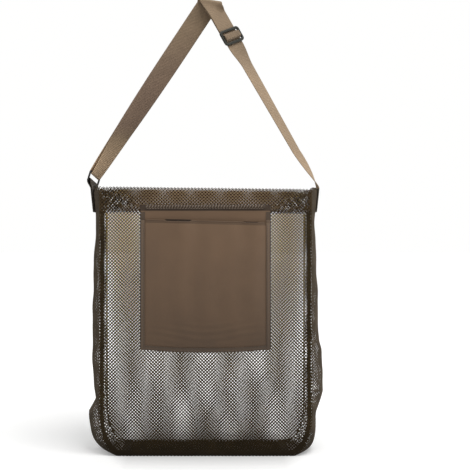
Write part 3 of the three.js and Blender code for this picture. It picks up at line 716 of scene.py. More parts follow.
def netting_finish(name, colour, hem_lit_colour, inside, lit_colour):
    """Matte netting: mottled yarn, painted shade near the floor, and painted light across the hem band and
    on its inner face where light falls in.
    """
    finish = Finish(name, specular_ior_level=0.12)
    place = finish.place()
    height = finish.axis(place, "Z")
    mottle = finish.noise(place, 60.0, 5.0)
    yarn = finish.noise(place, 2600.0, 2.0)
    base = finish.shade(mottle, colour, (0.3, 0.7), (0.7, 1.3))
    # Painted shade: the yarn darkens over the lowest 45 mm, towards the floor under the bag.
    foot_shaded = finish.tint(base, finish.span(height, 0.0, 0.045, 0.8, 0.0), darker(colour, 0.15))
    # Painted light: the strands are paler across the hem band. Towards the hem's ends the paler tone gives
    # way to painted shade over the tension folds.
    hem_light_share = finish.span(height, HEM_BOTTOM - 0.001, HEM_BOTTOM + 0.003, 0.0, 1.0)
    hem_light_share = finish.times(hem_light_share, finish.span(finish.off_middle(place, "X"), 0.07, 0.14, 1.0, 0.25))
    hem_lit = finish.tint(foot_shaded, hem_light_share, hem_lit_colour)
    light = finish.times(finish.looking(*inside), finish.span(height, *LIGHT_FALL, 0.0, 1.0))
    lit = finish.tint(hem_lit, light, lit_colour)
    worn = finish.tint(lit, finish.span(yarn, 0.45, 0.85, 0.0, 0.25), darker(colour, 1.9))
    rough = finish.span(yarn, 0.2, 0.8, 0.8, 0.98)
    return finish.done(base_color=worn, roughness=rough, normal=finish.relief(yarn, 0.0002, 0.6))


def tape_finish(name, colour, lit_colour):
    """Matte woven tape: fine ribs across it, paler on the back seam where light falls in."""
    finish = Finish(name, specular_ior_level=0.3)
    place = finish.place()
    cloud = finish.noise(place, 45.0, 4.0)
    fibre = finish.noise(place, 1500.0, 2.0)
    rib = finish.wave(finish.axis(finish.woven_place(), "X"), 0.0011)
    base = finish.shade(cloud, colour, (0.3, 0.65), (0.72, 1.5))
    inner = finish.span(finish.axis(place, "Y"), 0.0, 0.01, 0.0, 1.0)
    fall = finish.span(finish.axis(place, "Z"), *TAPE_LIGHT_FALL, 0.0, 1.0)
    lit = finish.tint(base, finish.times(inner, fall, finish.looking("Y", -1)), lit_colour)
    worn = finish.tint(lit, finish.span(fibre, 0.5, 0.8, 0.0, 0.3), darker(colour, 2.2))
    height = finish.plus(rib, finish.times(fibre, 1.2))
    rough = finish.span(fibre, 0.2, 0.8, 0.75, 0.95)
    return finish.done(base_color=worn, roughness=rough, normal=finish.relief(height, 0.0002, 0.5))


def band(low, high, depth, left=-1.0, right=1.0, slant=0.0):
    """A darker band painted on the cloth: its height, depth of tone, ends and slant."""
    return low, high, depth, left, right, slant


def cloth_finish(name, colour, sheen, shades=()):
    """Plain-weave nylon: a fine grid of yarns, soft clouds, painted light paler towards the top, a satin
    gloss and dark bands.
    """
    finish = Finish(name, sheen_weight=sheen, sheen_roughness=0.4, specular_ior_level=0.28)
    place = finish.place()
    across, height = finish.axis(place, "X"), finish.axis(place, "Z")
    cloud = finish.noise(place, 16.0, 4.0)
    slub = finish.noise(place, 900.0, 2.0)
    weave = finish.times(finish.wave(across, 0.0007), finish.wave(height, 0.0007))
    # Painted light: the cloth grows paler with height, as if light falls from above. The clouds are random.
    tone = finish.plus(finish.times(cloud, 0.45), finish.span(height, 0.16, 0.36, 0.0, 0.55))
    base = finish.shade(tone, colour, (0.15, 0.54), (0.45, 0.84), (0.8, 1.16))
    for low, high, depth, left, right, slant in shades:
        level = finish.plus(height, finish.times(across, slant))
        share = finish.times(
            finish.span(level, low, low + 0.0008, 0.0, depth),
            finish.span(level, high - 0.0008, high, 1.0, 0.0),
            finish.span(across, left, left + 0.003, 0.0, 1.0),
            finish.span(across, right - 0.003, right, 1.0, 0.0),
        )
        base = finish.tint(base, share, darker(colour, 0.12))
    aside = finish.off_middle(place, "X")
    outer = finish.span(aside, HALF_POCKET - 0.0016, HALF_POCKET - 0.0006, 0.0, 0.8)
    base = finish.tint(base, outer, darker(colour, 0.12))
    yarns = finish.tint(base, finish.span(weave, -1.0, 1.0, 0.0, 0.22), darker(colour, 0.6))
    flecked = finish.tint(yarns, finish.span(slub, 0.55, 0.8, 0.0, 0.2), darker(colour, 1.4))
    rough = finish.span(cloud, 0.3, 0.7, 0.42, 0.58)
    thread = finish.relief(finish.plus(weave, slub), 0.00008, 0.45)
    return finish.done(base_color=flecked, roughness=rough, normal=thread)


def strap_light_and_shade(finish, base, colour, left_leg_shade):
    """Painted light and shade on the webbing: a painted highlight near the ring, painted light down the
    right leg and painted shade half-way up the left leg.
    """
    place = finish.place()
    height = finish.axis(place, "Z")
    left = finish.span(finish.axis(place, "X"), -0.02, 0.02, 1.0, 0.0)
    right = finish.sums("SUBTRACT", 1.0, left)
    ring = finish.times(left, finish.span(height, *RING_HIGHLIGHT, 1.0, 0.0))
    rising = finish.span(height, *LEFT_LEG_SHADE[:2], 0.0, 0.6)
    middle = finish.times(rising, finish.span(height, *LEFT_LEG_SHADE[2:], 1.0, 0.0))
    upper = finish.span(height, *RIGHT_LEG_LIGHT[2:], 0.5, 0.0)
    lower = finish.plus(upper, finish.span(height, *RIGHT_LEG_LIGHT[:2], 0.5, 0.0))
    base = finish.tint(base, finish.times(left, middle), left_leg_shade)
    base = finish.tint(base, finish.times(right, lower), darker(colour, 1.9))
    return finish.tint(base, ring, darker(colour, 2.9))


def webbing_finish(name, colour, left_leg_shade=None):
    """Ribbed webbing: ribs across it with painted shade in their grooves, yarns along it, paler worn fibres
    and, when given a shade colour, painted light and shade along the strap.
    """
    finish = Finish(name, specular_ior_level=0.3, sheen_weight=0.1)
    woven = finish.woven_place()
    cloud = finish.noise(finish.place(), 28.0, 4.0)
    fibre = finish.noise(finish.place(), 1400.0, 2.0)
    rib = finish.wave(finish.axis(woven, "X"), settings().strap.rib_pitch)
    yarn = finish.wave(finish.axis(woven, "Y"), 0.0012)
    base = finish.shade(cloud, colour, (0.3, 0.8), (0.5, 1.0), (0.75, 1.2))
    # Painted light and shade along the strap, when given a shade colour.
    if left_leg_shade:
        base = strap_light_and_shade(finish, base, colour, left_leg_shade)
    # Painted shade: the webbing is darker in the grooves between its ribs.
    groove_shaded = finish.tint(base, finish.span(rib, -1.0, 0.5, 0.5, 0.0), darker(colour, 0.45))
    yarned = finish.tint(groove_shaded, finish.span(yarn, -1.0, 1.0, 0.25, 0.0), darker(colour, 0.5))
    worn = finish.tint(yarned, finish.span(fibre, 0.5, 0.8, 0.0, 0.4), darker(colour, 1.6))
    height = finish.plus(finish.times(rib, 0.6), finish.plus(yarn, fibre))
    rough = finish.span(fibre, 0.2, 0.8, 0.65, 0.9)
    return finish.done(base_color=worn, roughness=rough, normal=finish.relief(height, 0.0002, 0.5))


def thread_finish(name, colour):
    """Sewing thread: two twisted plies."""
    finish = Finish(name, specular_ior_level=0.4)
    woven = finish.woven_place()
    twist = finish.wave(finish.plus(finish.axis(woven, "X"), finish.axis(woven, "Y")), 0.0007)
    fuzz = finish.noise(finish.place(), 700.0, 2.0)
    base = finish.shade(fuzz, colour, (0.3, 0.7), (0.7, 1.3))
    plied = finish.tint(base, finish.span(twist, -1.0, 0.2, 0.5, 0.0), darker(colour, 0.5))
    rough = finish.span(fuzz, 0.3, 0.7, 0.5, 0.75)
    return finish.done(base_color=plied, roughness=rough, normal=finish.relief(twist, 0.00015, 0.6))


def plastic_finish(name, colour):
    """Moulded plastic: fine grain, scuffed paler in places."""
    finish = Finish(name, specular_ior_level=0.25)
    scuff = finish.noise(finish.place(), 240.0, 6.0)
    grain = finish.noise(finish.place(), 2200.0, 2.0)
    base = finish.shade(scuff, colour, (0.35, 0.8), (0.6, 1.0), (0.8, 2.6))
    rough = finish.span(scuff, 0.3, 0.8, 0.32, 0.6)
    return finish.done(base_color=base, roughness=rough, normal=finish.relief(grain, 0.0001, 0.35))


def wire_finish(name, colour):
    """Black coated wire, rubbed brighter in places."""
    finish = Finish(name, metallic=0.7, specular_ior_level=0.5)
    rub = finish.noise(finish.place(), 180.0, 5.0)
    scratch = finish.noise(finish.place(), 1600.0, 3.0)
    base = finish.shade(rub, colour, (0.4, 1.0), (0.62, 2.5), (0.8, 14.0))
    rough = finish.span(rub, 0.3, 0.8, 0.22, 0.45)
    return finish.done(base_color=base, roughness=rough, normal=finish.relief(scratch, 0.00008, 0.3))


# Shape of the netting body


def half_depth(z):
    """From the bag's middle to the outer face of the front or back panel."""
    return mix(BASE_HALF_DEPTH, RIM_HALF_DEPTH, np.clip(z / RIM, 0.0, 1.0))


def inner_half_depth(z):
    """The same to where a gusset meets the panel."""
    return half_depth(z) - NET_THICKNESS - GAP


def drawn_in(z):
    """How far a gusset's hem, with the webbing sewn on it, is drawn in at a height."""
    return HEM_DRAW * np.clip((RIM - z) / HEM_HEIGHT, 0.0, 1.0)


def tucked(hem):
    """How far the hem's turned-in layer lies inside the outer one, at a length from the rim."""
    return HEM_TUCK * ease(hem, 0.0, HEM_TURN)


def corner_arc(steps):
    """The rounded lower corner from the side to the base: cosines and sines, x and z."""
    angle = np.linspace(0.0, math.pi / 2, steps)
    level, steep = np.cos(angle), np.sin(angle)
    return level, steep, HALF_BASE + CORNER_RUN * level, CORNER_RISE * (1 - steep)


def gusset_course(hand):
    """The gusset's seam from the rim to the base: lengths, places and how its middle stands off."""
    heights, bows = (np.array(column)[::-1] for column in zip(*GUSSET_BOWS[hand]))
    side_z = np.linspace(RIM, CORNER_RISE, 120)
    out = np.interp(side_z, heights, bows)
    level, steep, arc_x, arc_z = (row[1:] for row in corner_arc(60))
    power = CORNER_SQUARENESS[hand]
    x = np.concatenate([np.full(len(side_z), HALF_WIDTH), arc_x])
    z = np.concatenate([side_z, arc_z])
    out = np.concatenate([out, (CORNER_RUN + out[-1]) * level**power - CORNER_RUN * level])
    down = np.concatenate([0 * side_z, CORNER_RISE * (steep**power - steep)])
    return path_lengths(np.stack([x + 0.5 * out, z - 0.5 * down], axis=1)), x, z, out, down


def gathered(x, z):
    """Netting drawn together along the hem's folds: new x and z, and how far it stands proud."""
    shift_x, shift_z, proud = 0 * x, 0 * z, 0 * x
    for start, end, width, take in HEM_FOLDS:
        run = np.subtract(end, start)
        length = np.hypot(*run)
        along, aside = run / length, np.array([-run[1], run[0]]) / length
        share = ((x - start[0]) * along[0] + (z - start[1]) * along[1]) / length
        offset = (x - start[0]) * aside[0] + (z - start[1]) * aside[1]
        fade = ease(share, -0.05, 0.2) * (1 - ease(share, 0.7, 1.15))
        pull = -take * offset * hump(offset, 0.0, width) * fade
        shift_x = shift_x + pull * aside[0]
        shift_z = shift_z + pull * aside[1]
        proud = proud + FOLD_PROUD * hump(offset, 0.0, width) * fade
    return x + shift_x, z + shift_z, proud


def panel_surface(facing):
    """The front (-1) or back (1) panel as a surface over the flat cut, slack between its seams."""
    ripple = settings().netting.ripple

    def surface(flat):
        x, z = flat[:, 0], flat[:, 1]
        inward = tucked(np.clip(z - RIM, 0.0, None))
        z = RIM - np.abs(RIM - z)
        slack = (1 - np.clip(np.abs(x) / HALF_WIDTH, 0, 1) ** 4) * ease(z, 0.0, FOOT_CALM)
        wave = sum(
            share * np.sin(turns(x / across + z / up) + turn * facing)
            for share, across, up, turn in PANEL_WAVES
        )
        proud = 0 * x
        if facing < 0:
            beside = ease(HALF_POCKET + POCKET_CALM - np.abs(x), 0.0, POCKET_CALM)
            slack = slack * (1 - beside * ease(z, POCKET_BOTTOM - POCKET_CALM, POCKET_BOTTOM))
            x, z, proud = gathered(x, z)
        y = facing * (half_depth(z) - NET_THICKNESS / 2 - inward + proud)
        y = y + ripple * wave * slack * (1 - HEM_CALM * ease(z, HEM_CALM_FROM, HEM_BOTTOM))
        z = z - RIM_TILT * x / HALF_WIDTH * ease(z, RIM_TILT_FROM, RIM)
        return np.stack([x, y, z], axis=1)

    return surface


def gusset_surface(hand):
    """The left (-1) or right (1) gusset as a surface, across it and up from the rim, and its length."""
    ripple = settings().netting.gusset_ripple
    course, *seam = gusset_course(hand)

    def surface(flat):
        across = np.clip(flat[:, 0] / GUSSET_HALF_FLAT, -1.0, 1.0)
        length = np.abs(flat[:, 1])
        x, z, out, down = (np.interp(length, course, row) for row in seam)
        bowed = 1 - np.abs(across) ** GUSSET_ROUND
        wave = sum(
            share * np.sin(turns(length / pitch + lean * across) + turn * hand)
            for share, pitch, lean, turn in GUSSET_WAVES
        )
        below_hem = ease(length, HEM_HEIGHT, GUSSET_CALM_TO)
        out = out + ripple * wave * below_hem * ease(z, 0.0, FOOT_CALM)
        inset = NET_THICKNESS / 2 + tucked(np.clip(flat[:, 1], 0.0, None))
        side = hand * (x + out * bowed - inset)
        return np.stack([side, across * inner_half_depth(z), z - down * bowed], axis=1)

    return surface, course[-1]


def base_surface(flat):
    """The base panel, flat on the floor."""
    return np.stack([flat[:, 0], flat[:, 1], np.full(len(flat), NET_THICKNESS / 2)], axis=1)


def panel_outline():
    """The flat cut of the front and back panels."""
    _, _, x, z = corner_arc(14)
    right = np.stack([np.append(HALF_WIDTH, x), np.append(RIM, z)], axis=1)
    return np.concatenate([right, right[::-1] * np.array([-1.0, 1.0])])


def rectangle(left, right, bottom, top):
    """A rectangular cut."""
    return np.array([[left, bottom], [right, bottom], [right, top], [left, top]])


def strand_ends(outline, origin, cell):
    """Start, end and lean of every strand of both diagonals inside a convex cut."""
    scaled = (outline - origin) / cell
    found = []
    for lean in (1.0, -1.0):
        level = scaled[:, 0] - lean * scaled[:, 1]
        for count in range(math.ceil(level.min()), math.floor(level.max()) + 1):
            above = level - count - 1e-6
            following = np.roll(above, -1)
            crossed = np.nonzero(above * following < 0)[0]
            if len(crossed) != 2:
                continue
            share = (above / (above - following))[crossed, None]
            start, end = mix(outline[crossed], np.roll(outline, -1, axis=0)[crossed], share)
            if np.hypot(*(end - start)) > cell[0] / 2:
                found.append((start, end, lean))
    return found


def on_surface(surface, flat):
    """Points and unit normals of a surface at places of its flat cut."""
    step_u, step_v = np.array([[SURFACE_STEP, 0.0]]), np.array([[0.0, SURFACE_STEP]])
    across = surface(flat + step_u) - surface(flat - step_u)
    upward = surface(flat + step_v) - surface(flat - step_v)
    return surface(flat), unit(np.cross(across, upward))


def woven_net(surface, strands, half_width, half_height):
    """Strands of both diagonals, crossing on a surface."""
    parts = []
    for index, (start, end, lean) in enumerate(strands):
        shares = np.linspace(0.0, 1.0, math.ceil(np.hypot(*(end - start)) / STRAND_STEP) + 2)
        middle, normal = on_surface(surface, mix(start, end, shares[:, None]))
        middle = middle + normal * (lean * CROSSING_LIFT * half_height)
        side = unit(np.cross(normal, np.gradient(middle, axis=0))) * half_width
        rise = normal * half_height
        corner = [middle + a * side + b * rise for a, b in ((-1, -1), (1, -1), (1, 1), (-1, 1))]
        sections = np.stack(corner, axis=1)
        sections[..., 2] = np.maximum(sections[..., 2], FLOOR_CLEAR)
        around = (index + STRIP_SHARE * np.arange(5) / 4) / len(strands)
        parts.append(loft(sections, shares, around))
    return parts


def add_net(
    name, node, slot, finish, surface, outline, origin,
    stretch=1.0, width=None, height=None,
):
    """One netting piece that stands for a node of the frame."""
    netting = settings().netting
    width, height = width or netting.strand_width, height or netting.strand_height
    cell = np.array([netting.diamond_width, netting.diamond_height * stretch])
    strands = strand_ends(outline, np.array(origin), cell)
    parts = woven_net(surface, strands, width / 2, height / 2)
    obj = make_piece(name, parts, finish, "bag", slot, node, texture_map="OFBake")
    following = np.roll(outline, -1, axis=0)


# Course of the strap


def upper_bar_frame():
    """The ring's upper bar and the direction from its lower bar to it."""
    up = np.array([math.sin(RING_LEAN), 0.0, math.cos(RING_LEAN)])
    up = unit(up - BARWAY * np.dot(up, BARWAY))
    return LOWER_BAR + RING_PITCH * up, up


UPPER_BAR, RING_UP = upper_bar_frame()
LEFT_TOP = FOLD + np.array([-FOLD_SLIDE, FOLD_MIDDLE, 0.0])
LEFT_LENGTH = np.linalg.norm(LEFT_TOP - UPPER_BAR)
LEFT_ALONG = unit(LEFT_TOP - UPPER_BAR)
RIGHT_TOP = FOLD - np.array([0.0, FOLD_MIDDLE, 0.0])
RIGHT_LENGTH = (RIGHT_TOP[2] - RIGHT_LOW) / -RIGHT_ALONG[2]
RIGHT_ACROSS = unit(np.cross(RIGHT_ALONG, DEPTHWISE))


def left_leg(length):
    """Middle, half width and outward normal of the left leg at a length up from the ring."""
    share = length / LEFT_LENGTH
    opened = 1 - (1 - share) ** OPENING_POWER
    flat = mix(BARWAY * np.array([1.0, 0.0, 1.0]) * HALF_STRAP, CREASE_HALF, opened)
    across = np.dot(flat, flat) - np.dot(flat, LEFT_ALONG) ** 2
    reach = flat + DEPTHWISE * math.sqrt(max(HALF_STRAP**2 - across, 0.0))
    return mix(UPPER_BAR, LEFT_TOP, share), reach, unit(np.cross(LEFT_ALONG, reach))


def right_leg(length):
    """The same for the right leg, at a length down from the fold."""
    settled = mix(TURN_MID, TURN_LOW, max(0.0, (length - TURN_END) / (RIGHT_LENGTH - TURN_END)))
    turn = mix(TURN_TOP, settled, ease(length, TURN_START, TURN_END))
    reach = (DEPTHWISE * math.cos(turn) + RIGHT_ACROSS * math.sin(turn)) * HALF_STRAP
    reach = mix(reach, CREASE_HALF, 1 - ease(length, 0.0, CREASE_BLEND))
    return RIGHT_TOP + RIGHT_ALONG * length, reach, unit(np.cross(RIGHT_ALONG, reach))


def fold_place(angle):
    """The same for the fold at the top."""
    normal = np.array([0.0, math.cos(angle), math.sin(angle)])
    slide = np.array([FOLD_SLIDE * (1 + math.cos(angle)) / 2, 0.0, 0.0])
    return FOLD + normal * FOLD_MIDDLE - slide, CREASE_HALF, normal


def lifted(place, lift):
    """A place moved out of the strap's loop, or in with a negative lift."""
    middle, reach, normal = place
    return middle + normal * lift, reach, normal


def ply_spread(length, reach=PLY_CLOSE):
    """How far each ply lies from the strap's middle at a length from a ring bar."""
    return mix(BAR_SPREAD, PLY_PITCH / 2, ease(length, RING_WIRE, reach))


def strap_run(side, last):
    """Places of the outer (1) or return (-1) run from the ring loop over the fold to a length."""
    rising = spaced(LOOP_LENGTH - LAP, LEFT_LENGTH - FOLD_MIDDLE)
    left = [lifted(left_leg(length), side * ply_spread(length)) for length in rising]
    top = [fold_place(angle) for angle in spaced(0.0, math.pi, FOLD_STEP)]
    right = [right_leg(length) for length in spaced(FOLD_MIDDLE, last)]
    return left + [lifted(place, side * PLY_PITCH / 2) for place in top + right]


def folded_run(bar, lengths, leg_at, spread_at):
    """Places of webbing that comes down one ply, turns round a bar and goes back on the other."""

    def ply(length, side):
        middle, reach, normal = leg_at(length)
        return middle + normal * (side * spread_at(length)), reach, normal * side

    middle, reach, normal = leg_at(0.0)
    away = np.cross(normal, unit(reach))
    turn = []
    for angle in np.linspace(0.0, math.pi, 16)[1:-1]:
        outward = normal * math.cos(angle) + away * math.sin(angle)
        turn.append((bar + outward * spread_at(0.0), reach, outward))
    return [ply(length, 1) for length in lengths[::-1]] + turn + [ply(length, -1) for length in lengths]


def slider_frame_of_reference():
    """Origin on the strap's outer face and the axes across, up and out of the strap."""
    middle, reach, out = lifted(right_leg(SLIDER_AT), PLY_PITCH / 2 + WEBBING / 2)
    across = unit(reach)
    return middle, np.stack([across, np.cross(out, across), out])


# Shape of the pocket


def backing_face(x, z):
    """Outer face of the pocket's backing cloth."""
    slack = BACKING_SLACK * np.sin(turns(x) / BACKING_WAVE + 1.0)
    return -half_depth(z) - GAP - CLOTH - np.abs(slack * ease(z, BACKING_SLACK_FROM, POCKET_TOP))


def pocket_bottom_edge(x):
    """The pocket's lower edge, which dips in the middle."""
    return POCKET_BOTTOM + POCKET_DIP * (np.abs(x) / HALF_POCKET) ** DIP_POWER


def pocket_mouth_edge(x):
    """The upper edge of the pocket's front, which slants and sags open in two places."""
    sag = sum(depth * ease(half - np.abs(x - middle), 0.0, edge) for depth, middle, half, edge in MOUTH_SAGS)
    return MOUTH_LEVEL - MOUTH_SLANT * x - sag


def rising_waves(x, z, pitch, sway, height, turn):
    """Waves that rise up the cloth and sway."""
    return np.sin(turns(x / pitch + sway * np.sin(z / height)) + turn)


def pocket_face(x, z):
    """Outer face of the pocket's front cloth."""
    pocket = settings().pocket
    share = np.clip((z - pocket_bottom_edge(x)) / POCKET_RISE, 0.0, 1.0)
    loose = np.sin(math.pi / 2 * share) * (1 - np.clip(np.abs(x) / HALF_POCKET, 0, 1) ** 4)
    gape = MOUTH_GAPE * sum(part * hump(x, middle, width) for part, middle, width in MOUTH_GAPES)
    gape = gape * ease(z, MOUTH_GAPE_FROM, POCKET_MOUTH)
    upright = rising_waves(x, z, *BROAD_WRINKLE) * ease(z, *BROAD_WRINKLE_HEIGHTS)
    upright = upright + NARROW_SHARE * rising_waves(x, z, *NARROW_WRINKLE)
    pitch, sway, width = LEVEL_WRINKLE
    level = np.sin(turns(z / pitch + sway * np.cos(x / width)))
    level = level * hump(z, POCKET_BOTTOM + LEVEL_RISE, LEVEL_SPREAD)
    rumple = pocket.wrinkle * (upright + LEVEL_SHARE * level)
    return backing_face(x, z) - GAP - CLOTH - loose * (pocket.fullness + rumple) - gape


def pocket_grid(columns, rows):
    """Points of the pocket's front for columns of x and shares from the bottom to the mouth."""
    x = np.broadcast_to(columns[None, :], (len(rows), len(columns)))
    z = mix(pocket_bottom_edge(x), pocket_mouth_edge(x), rows[:, None])
    return x, pocket_face(x, z), z


# What a user would change


def length_setting(name, description, default):
    """A length in metres."""
    return FloatProperty(name=name, description=description, default=default, unit="LENGTH")


def number_setting(name, description, default, subtype="NONE"):
    """A number without a length."""
    return FloatProperty(name=name, description=description, default=default, subtype=subtype)


def colour_setting(name, description, default):
    """A colour."""
    return FloatVectorProperty(name=name, description=description, default=default, subtype="COLOR")


class NettingSettings(PropertyGroup):
    """Netting of the panels, gussets, base and hem"""

    diamond_width: length_setting("Diamond width", "Mesh opening, side to side", 0.0051)
    diamond_height: length_setting("Diamond height", "Mesh opening, up and down", 0.0049)
    strand_width: length_setting("Strand width", "Width of a strand in the net", 0.0012)
    strand_height: length_setting("Strand height", "Thickness of a strand", 0.0005)
    back_width: length_setting("Back strand width", "Width of a strand of the back panel", 0.0011)
    base_width: length_setting("Base strand width", "Width of a strand of the base", 0.0018)
    gusset_height: length_setting("Gusset strand height", "Thickness of a gusset's strand", 0.0006)
    back_stretch: number_setting("Back stretch", "How much taller the back panel's diamonds are", 1.067)
    ripple: length_setting("Ripple", "Height of the slack waves", 0.0009)
    gusset_ripple: length_setting("Gusset ripple", "The same on the gussets", 0.0005)
    colour: colour_setting("Netting", "Colour of the strands", (0.047, 0.031, 0.013))
    # Painted light: the paler tone of the panels' strands across the hem band, also used on the front
    # panel's inner face.
    hem_lit_colour: colour_setting("Hem", "Colour of the turned-in hem", (0.215, 0.147, 0.090))
    gusset_colour: colour_setting("Gussets", "Colour of the gussets' netting", (0.105, 0.083, 0.060))
    lit_colour: colour_setting(
        "Lit inside", "Colour of the back panel where light falls in", (0.95, 0.67, 0.19)
    )
    tape_colour: colour_setting(
        "Tape", "Colour of the seam tapes", darker(frame_colour("binding_tape"), 0.5)
    )


class PocketSettings(PropertyGroup):
    """Cloth patch pocket"""

    fullness: length_setting("Fullness", "How far the front stands off the backing", 0.009)
    wrinkle: length_setting("Wrinkle", "Height of the soft wrinkles", 0.0011)
    colour: colour_setting("Cloth", "Colour of the cloth", (0.150, 0.092, 0.054))
    edge_colour: colour_setting("Edging", "Colour of the bound edges", (0.136, 0.092, 0.061))
    thread_colour: colour_setting("Thread", "Colour of the sewing thread", (0.27, 0.205, 0.15))


class StrapSettings(PropertyGroup):
    """Webbing strap, ring and slider"""

    rib_pitch: length_setting("Rib pitch", "From rib to rib of the webbing", 0.0024)
    rib_depth: number_setting(
        "Rib depth", "Depth of the grooves, as a share of half the thickness", 0.3, "FACTOR"
    )
    colour: colour_setting("Webbing", "Colour of the strap", (0.275, 0.195, 0.122))
    # Painted shade: the darker tone half-way up the strap's left leg.
    left_leg_shade_colour: colour_setting(
        "Russet", "Colour of the strap half-way up its left leg", (0.175, 0.108, 0.089)
    )
    end_colour: colour_setting("Sewn end", "Colour of the strap's sewn end", (0.14, 0.118, 0.08))
    tab_colour: colour_setting("Tab", "Colour of the ring's tab", darker(frame_colour("tab_webbing"), 0.5))
    slider_colour: colour_setting("Slider", "Colour of the slider", frame_colour("slider_plastic"))
    ring_colour: colour_setting("Ring", "Colour of the wire ring", frame_colour("ring_wire"))


class StageSettings(PropertyGroup):
    """Floor, light and camera"""

    floor_colour: colour_setting("Floor", "Colour of the floor", (0.75, 0.75, 0.745))
    key_power: number_setting("Main lamp", "Power of the lamp above on the right", 36.0, "POWER")
    fill_power: number_setting("Fill lamp", "Power of the lamp on the left", 3.5, "POWER")
    side_power: number_setting("Side lamp", "Power of the lamp on the right", 5.0, "POWER")
    sky: number_setting("Sky", "Strength of the even light all round", 0.40)
    distance: length_setting("Camera distance", "From the bag's middle", 1.292)
    lens: number_setting("Lens", "Focal length in millimetres", 63.83)


class BagSettings(PropertyGroup):
    """All settings of the foraging bag"""

    netting: PointerProperty(type=NettingSettings)
    pocket: PointerProperty(type=PocketSettings)
    strap: PointerProperty(type=StrapSettings)
    stage: PointerProperty(type=StageSettings)


# Operators


class FORAGING_OT_stage(Operator):
    """Set up the camera, the light and the floor"""

    bl_idname = "foraging_bag.stage"
    bl_label = "Stage"

    def execute(self, context):
        stage = settings().stage
        context.scene.view_settings.view_transform = "Standard"
        camera = add_object("camera", bpy.data.cameras.new("camera"))
        camera.data.lens = stage.lens
        camera.data.sensor_width = SENSOR_WIDTH
        camera.data.shift_x = CAMERA_SHIFT
        camera.location = (0.0, -stage.distance, CAMERA_HEIGHT)
        camera.rotation_euler = (math.pi / 2, 0.0, 0.0)
        context.scene.camera = camera
        for name, power, size, location, target in LAMPS:
            lamp = add_object(name, bpy.data.lights.new(name, "AREA"))
            lamp.data.energy = getattr(stage, power)
            lamp.data.size = size
            lamp.location = location
            lamp.rotation_euler = (Vector(target) - Vector(location)).to_track_quat("-Z", "Y").to_euler()
        context.scene.world = self.sky(stage.sky)
        self.add_floor(stage.floor_colour)
        return {"FINISHED"}

    def sky(self, strength):
        """Even pale light, shown as white."""
        world = bpy.data.worlds.new("sky")
        world.use_nodes = True
        nodes = Nodes(world.node_tree)
        background = nodes.tree.nodes["Background"]
        background.inputs["Color"].default_value = SKY_COLOUR
        nodes.feed(background.inputs["Strength"], nodes.span(nodes.seen_directly(), 0.0, 1.0, strength, 1.0))
        return world

    def add_floor(self, colour):
        """A wide pale floor that keeps the object's shadow, with painted shade round the base where its glow
        falls away.
        """
        finish = Finish(
            "floor_finish", base_color=(*colour, 1.0), emission_color=(1.0, 1.0, 1.0, 1.0),
            roughness=0.9, specular_ior_level=0.1,
        )
        place = finish.place()
        away = finish.node("ShaderNodeVectorMath", {0: place}, operation="LENGTH").outputs["Value"]
        beside = finish.span(finish.off_middle(place, "X"), *BESIDE_BASE)
        near = finish.plus(finish.off_middle(place, "Y"), beside)
        # Painted shade: the camera-only glow is gone close to the base and grows with distance from it.
        level = finish.plus(finish.span(near, *FOOT_SHADE_GLOW), finish.span(away, *FAR_GLOW))
        finish.done(emission_strength=finish.times(finish.seen_directly(), level))
        mesh = bpy.data.meshes.new("floor")
        square = [(x * FLOOR_REACH, y * FLOOR_REACH, 0) for x, y in ((-1, -1), (1, -1), (1, 1), (-1, 1))]
        mesh.from_pydata(square, [], [(0, 1, 2, 3)])
        mesh.materials.append(finish.material)
        floor = add_object("floor", mesh)


class FORAGING_OT_netting(Operator):
    """Weave the front, back, gusset and base netting"""

    bl_idname = "foraging_bag.netting"
    bl_label = "Netting"

    def execute(self, context):
        netting = settings().netting
        hem = netting.hem_lit_colour
        # The front panel's inner face takes the hem's painted light where light falls in, and the back
        # panel's takes the lit colour.
        for side, facing, lit, stretch, width in (
            ("front", -1, hem, 1.0, netting.strand_width),
            ("back", 1, netting.lit_colour, netting.back_stretch, netting.back_width),
        ):
            finish = netting_finish(f"{side}_netting_finish", netting.colour, hem, ("Y", -facing), lit)
            add_net(
                f"{side}_netting", f"{side}_net_panel", "netting", finish,
                panel_surface(facing), panel_outline(), (0.0, RIM), stretch=stretch, width=width,
            )
        colour = netting.gusset_colour
        for side, hand in SIDES:
            finish = netting_finish(f"{side}_gusset_finish", colour, colour, ("X", -hand), colour)
            surface, course = gusset_surface(hand)
            cut = rectangle(-GUSSET_HALF_FLAT, GUSSET_HALF_FLAT, -course, 0.0)
            add_net(
                f"{side}_gusset_netting", f"{side}_gusset", "netting", finish,
                surface, cut, (0.0, 0.0), height=netting.gusset_height,
            )
        depth = inner_half_depth(0.0)
        cut = rectangle(GAP - HALF_BASE, HALF_BASE - GAP, -depth, depth)
        # Painted shade: the base's netting is a darker copy of the panels' yarn, for the shade under the
        # bag.
        colour = darker(netting.colour, 0.4)
        finish = netting_finish("base_netting_finish", colour, colour, ("Z", 1), colour)
        add_net(
            "base_netting", "base_panel", "netting", finish,
            base_surface, cut, (0.0, 0.0), width=netting.base_width,
        )
        return {"FINISHED"}


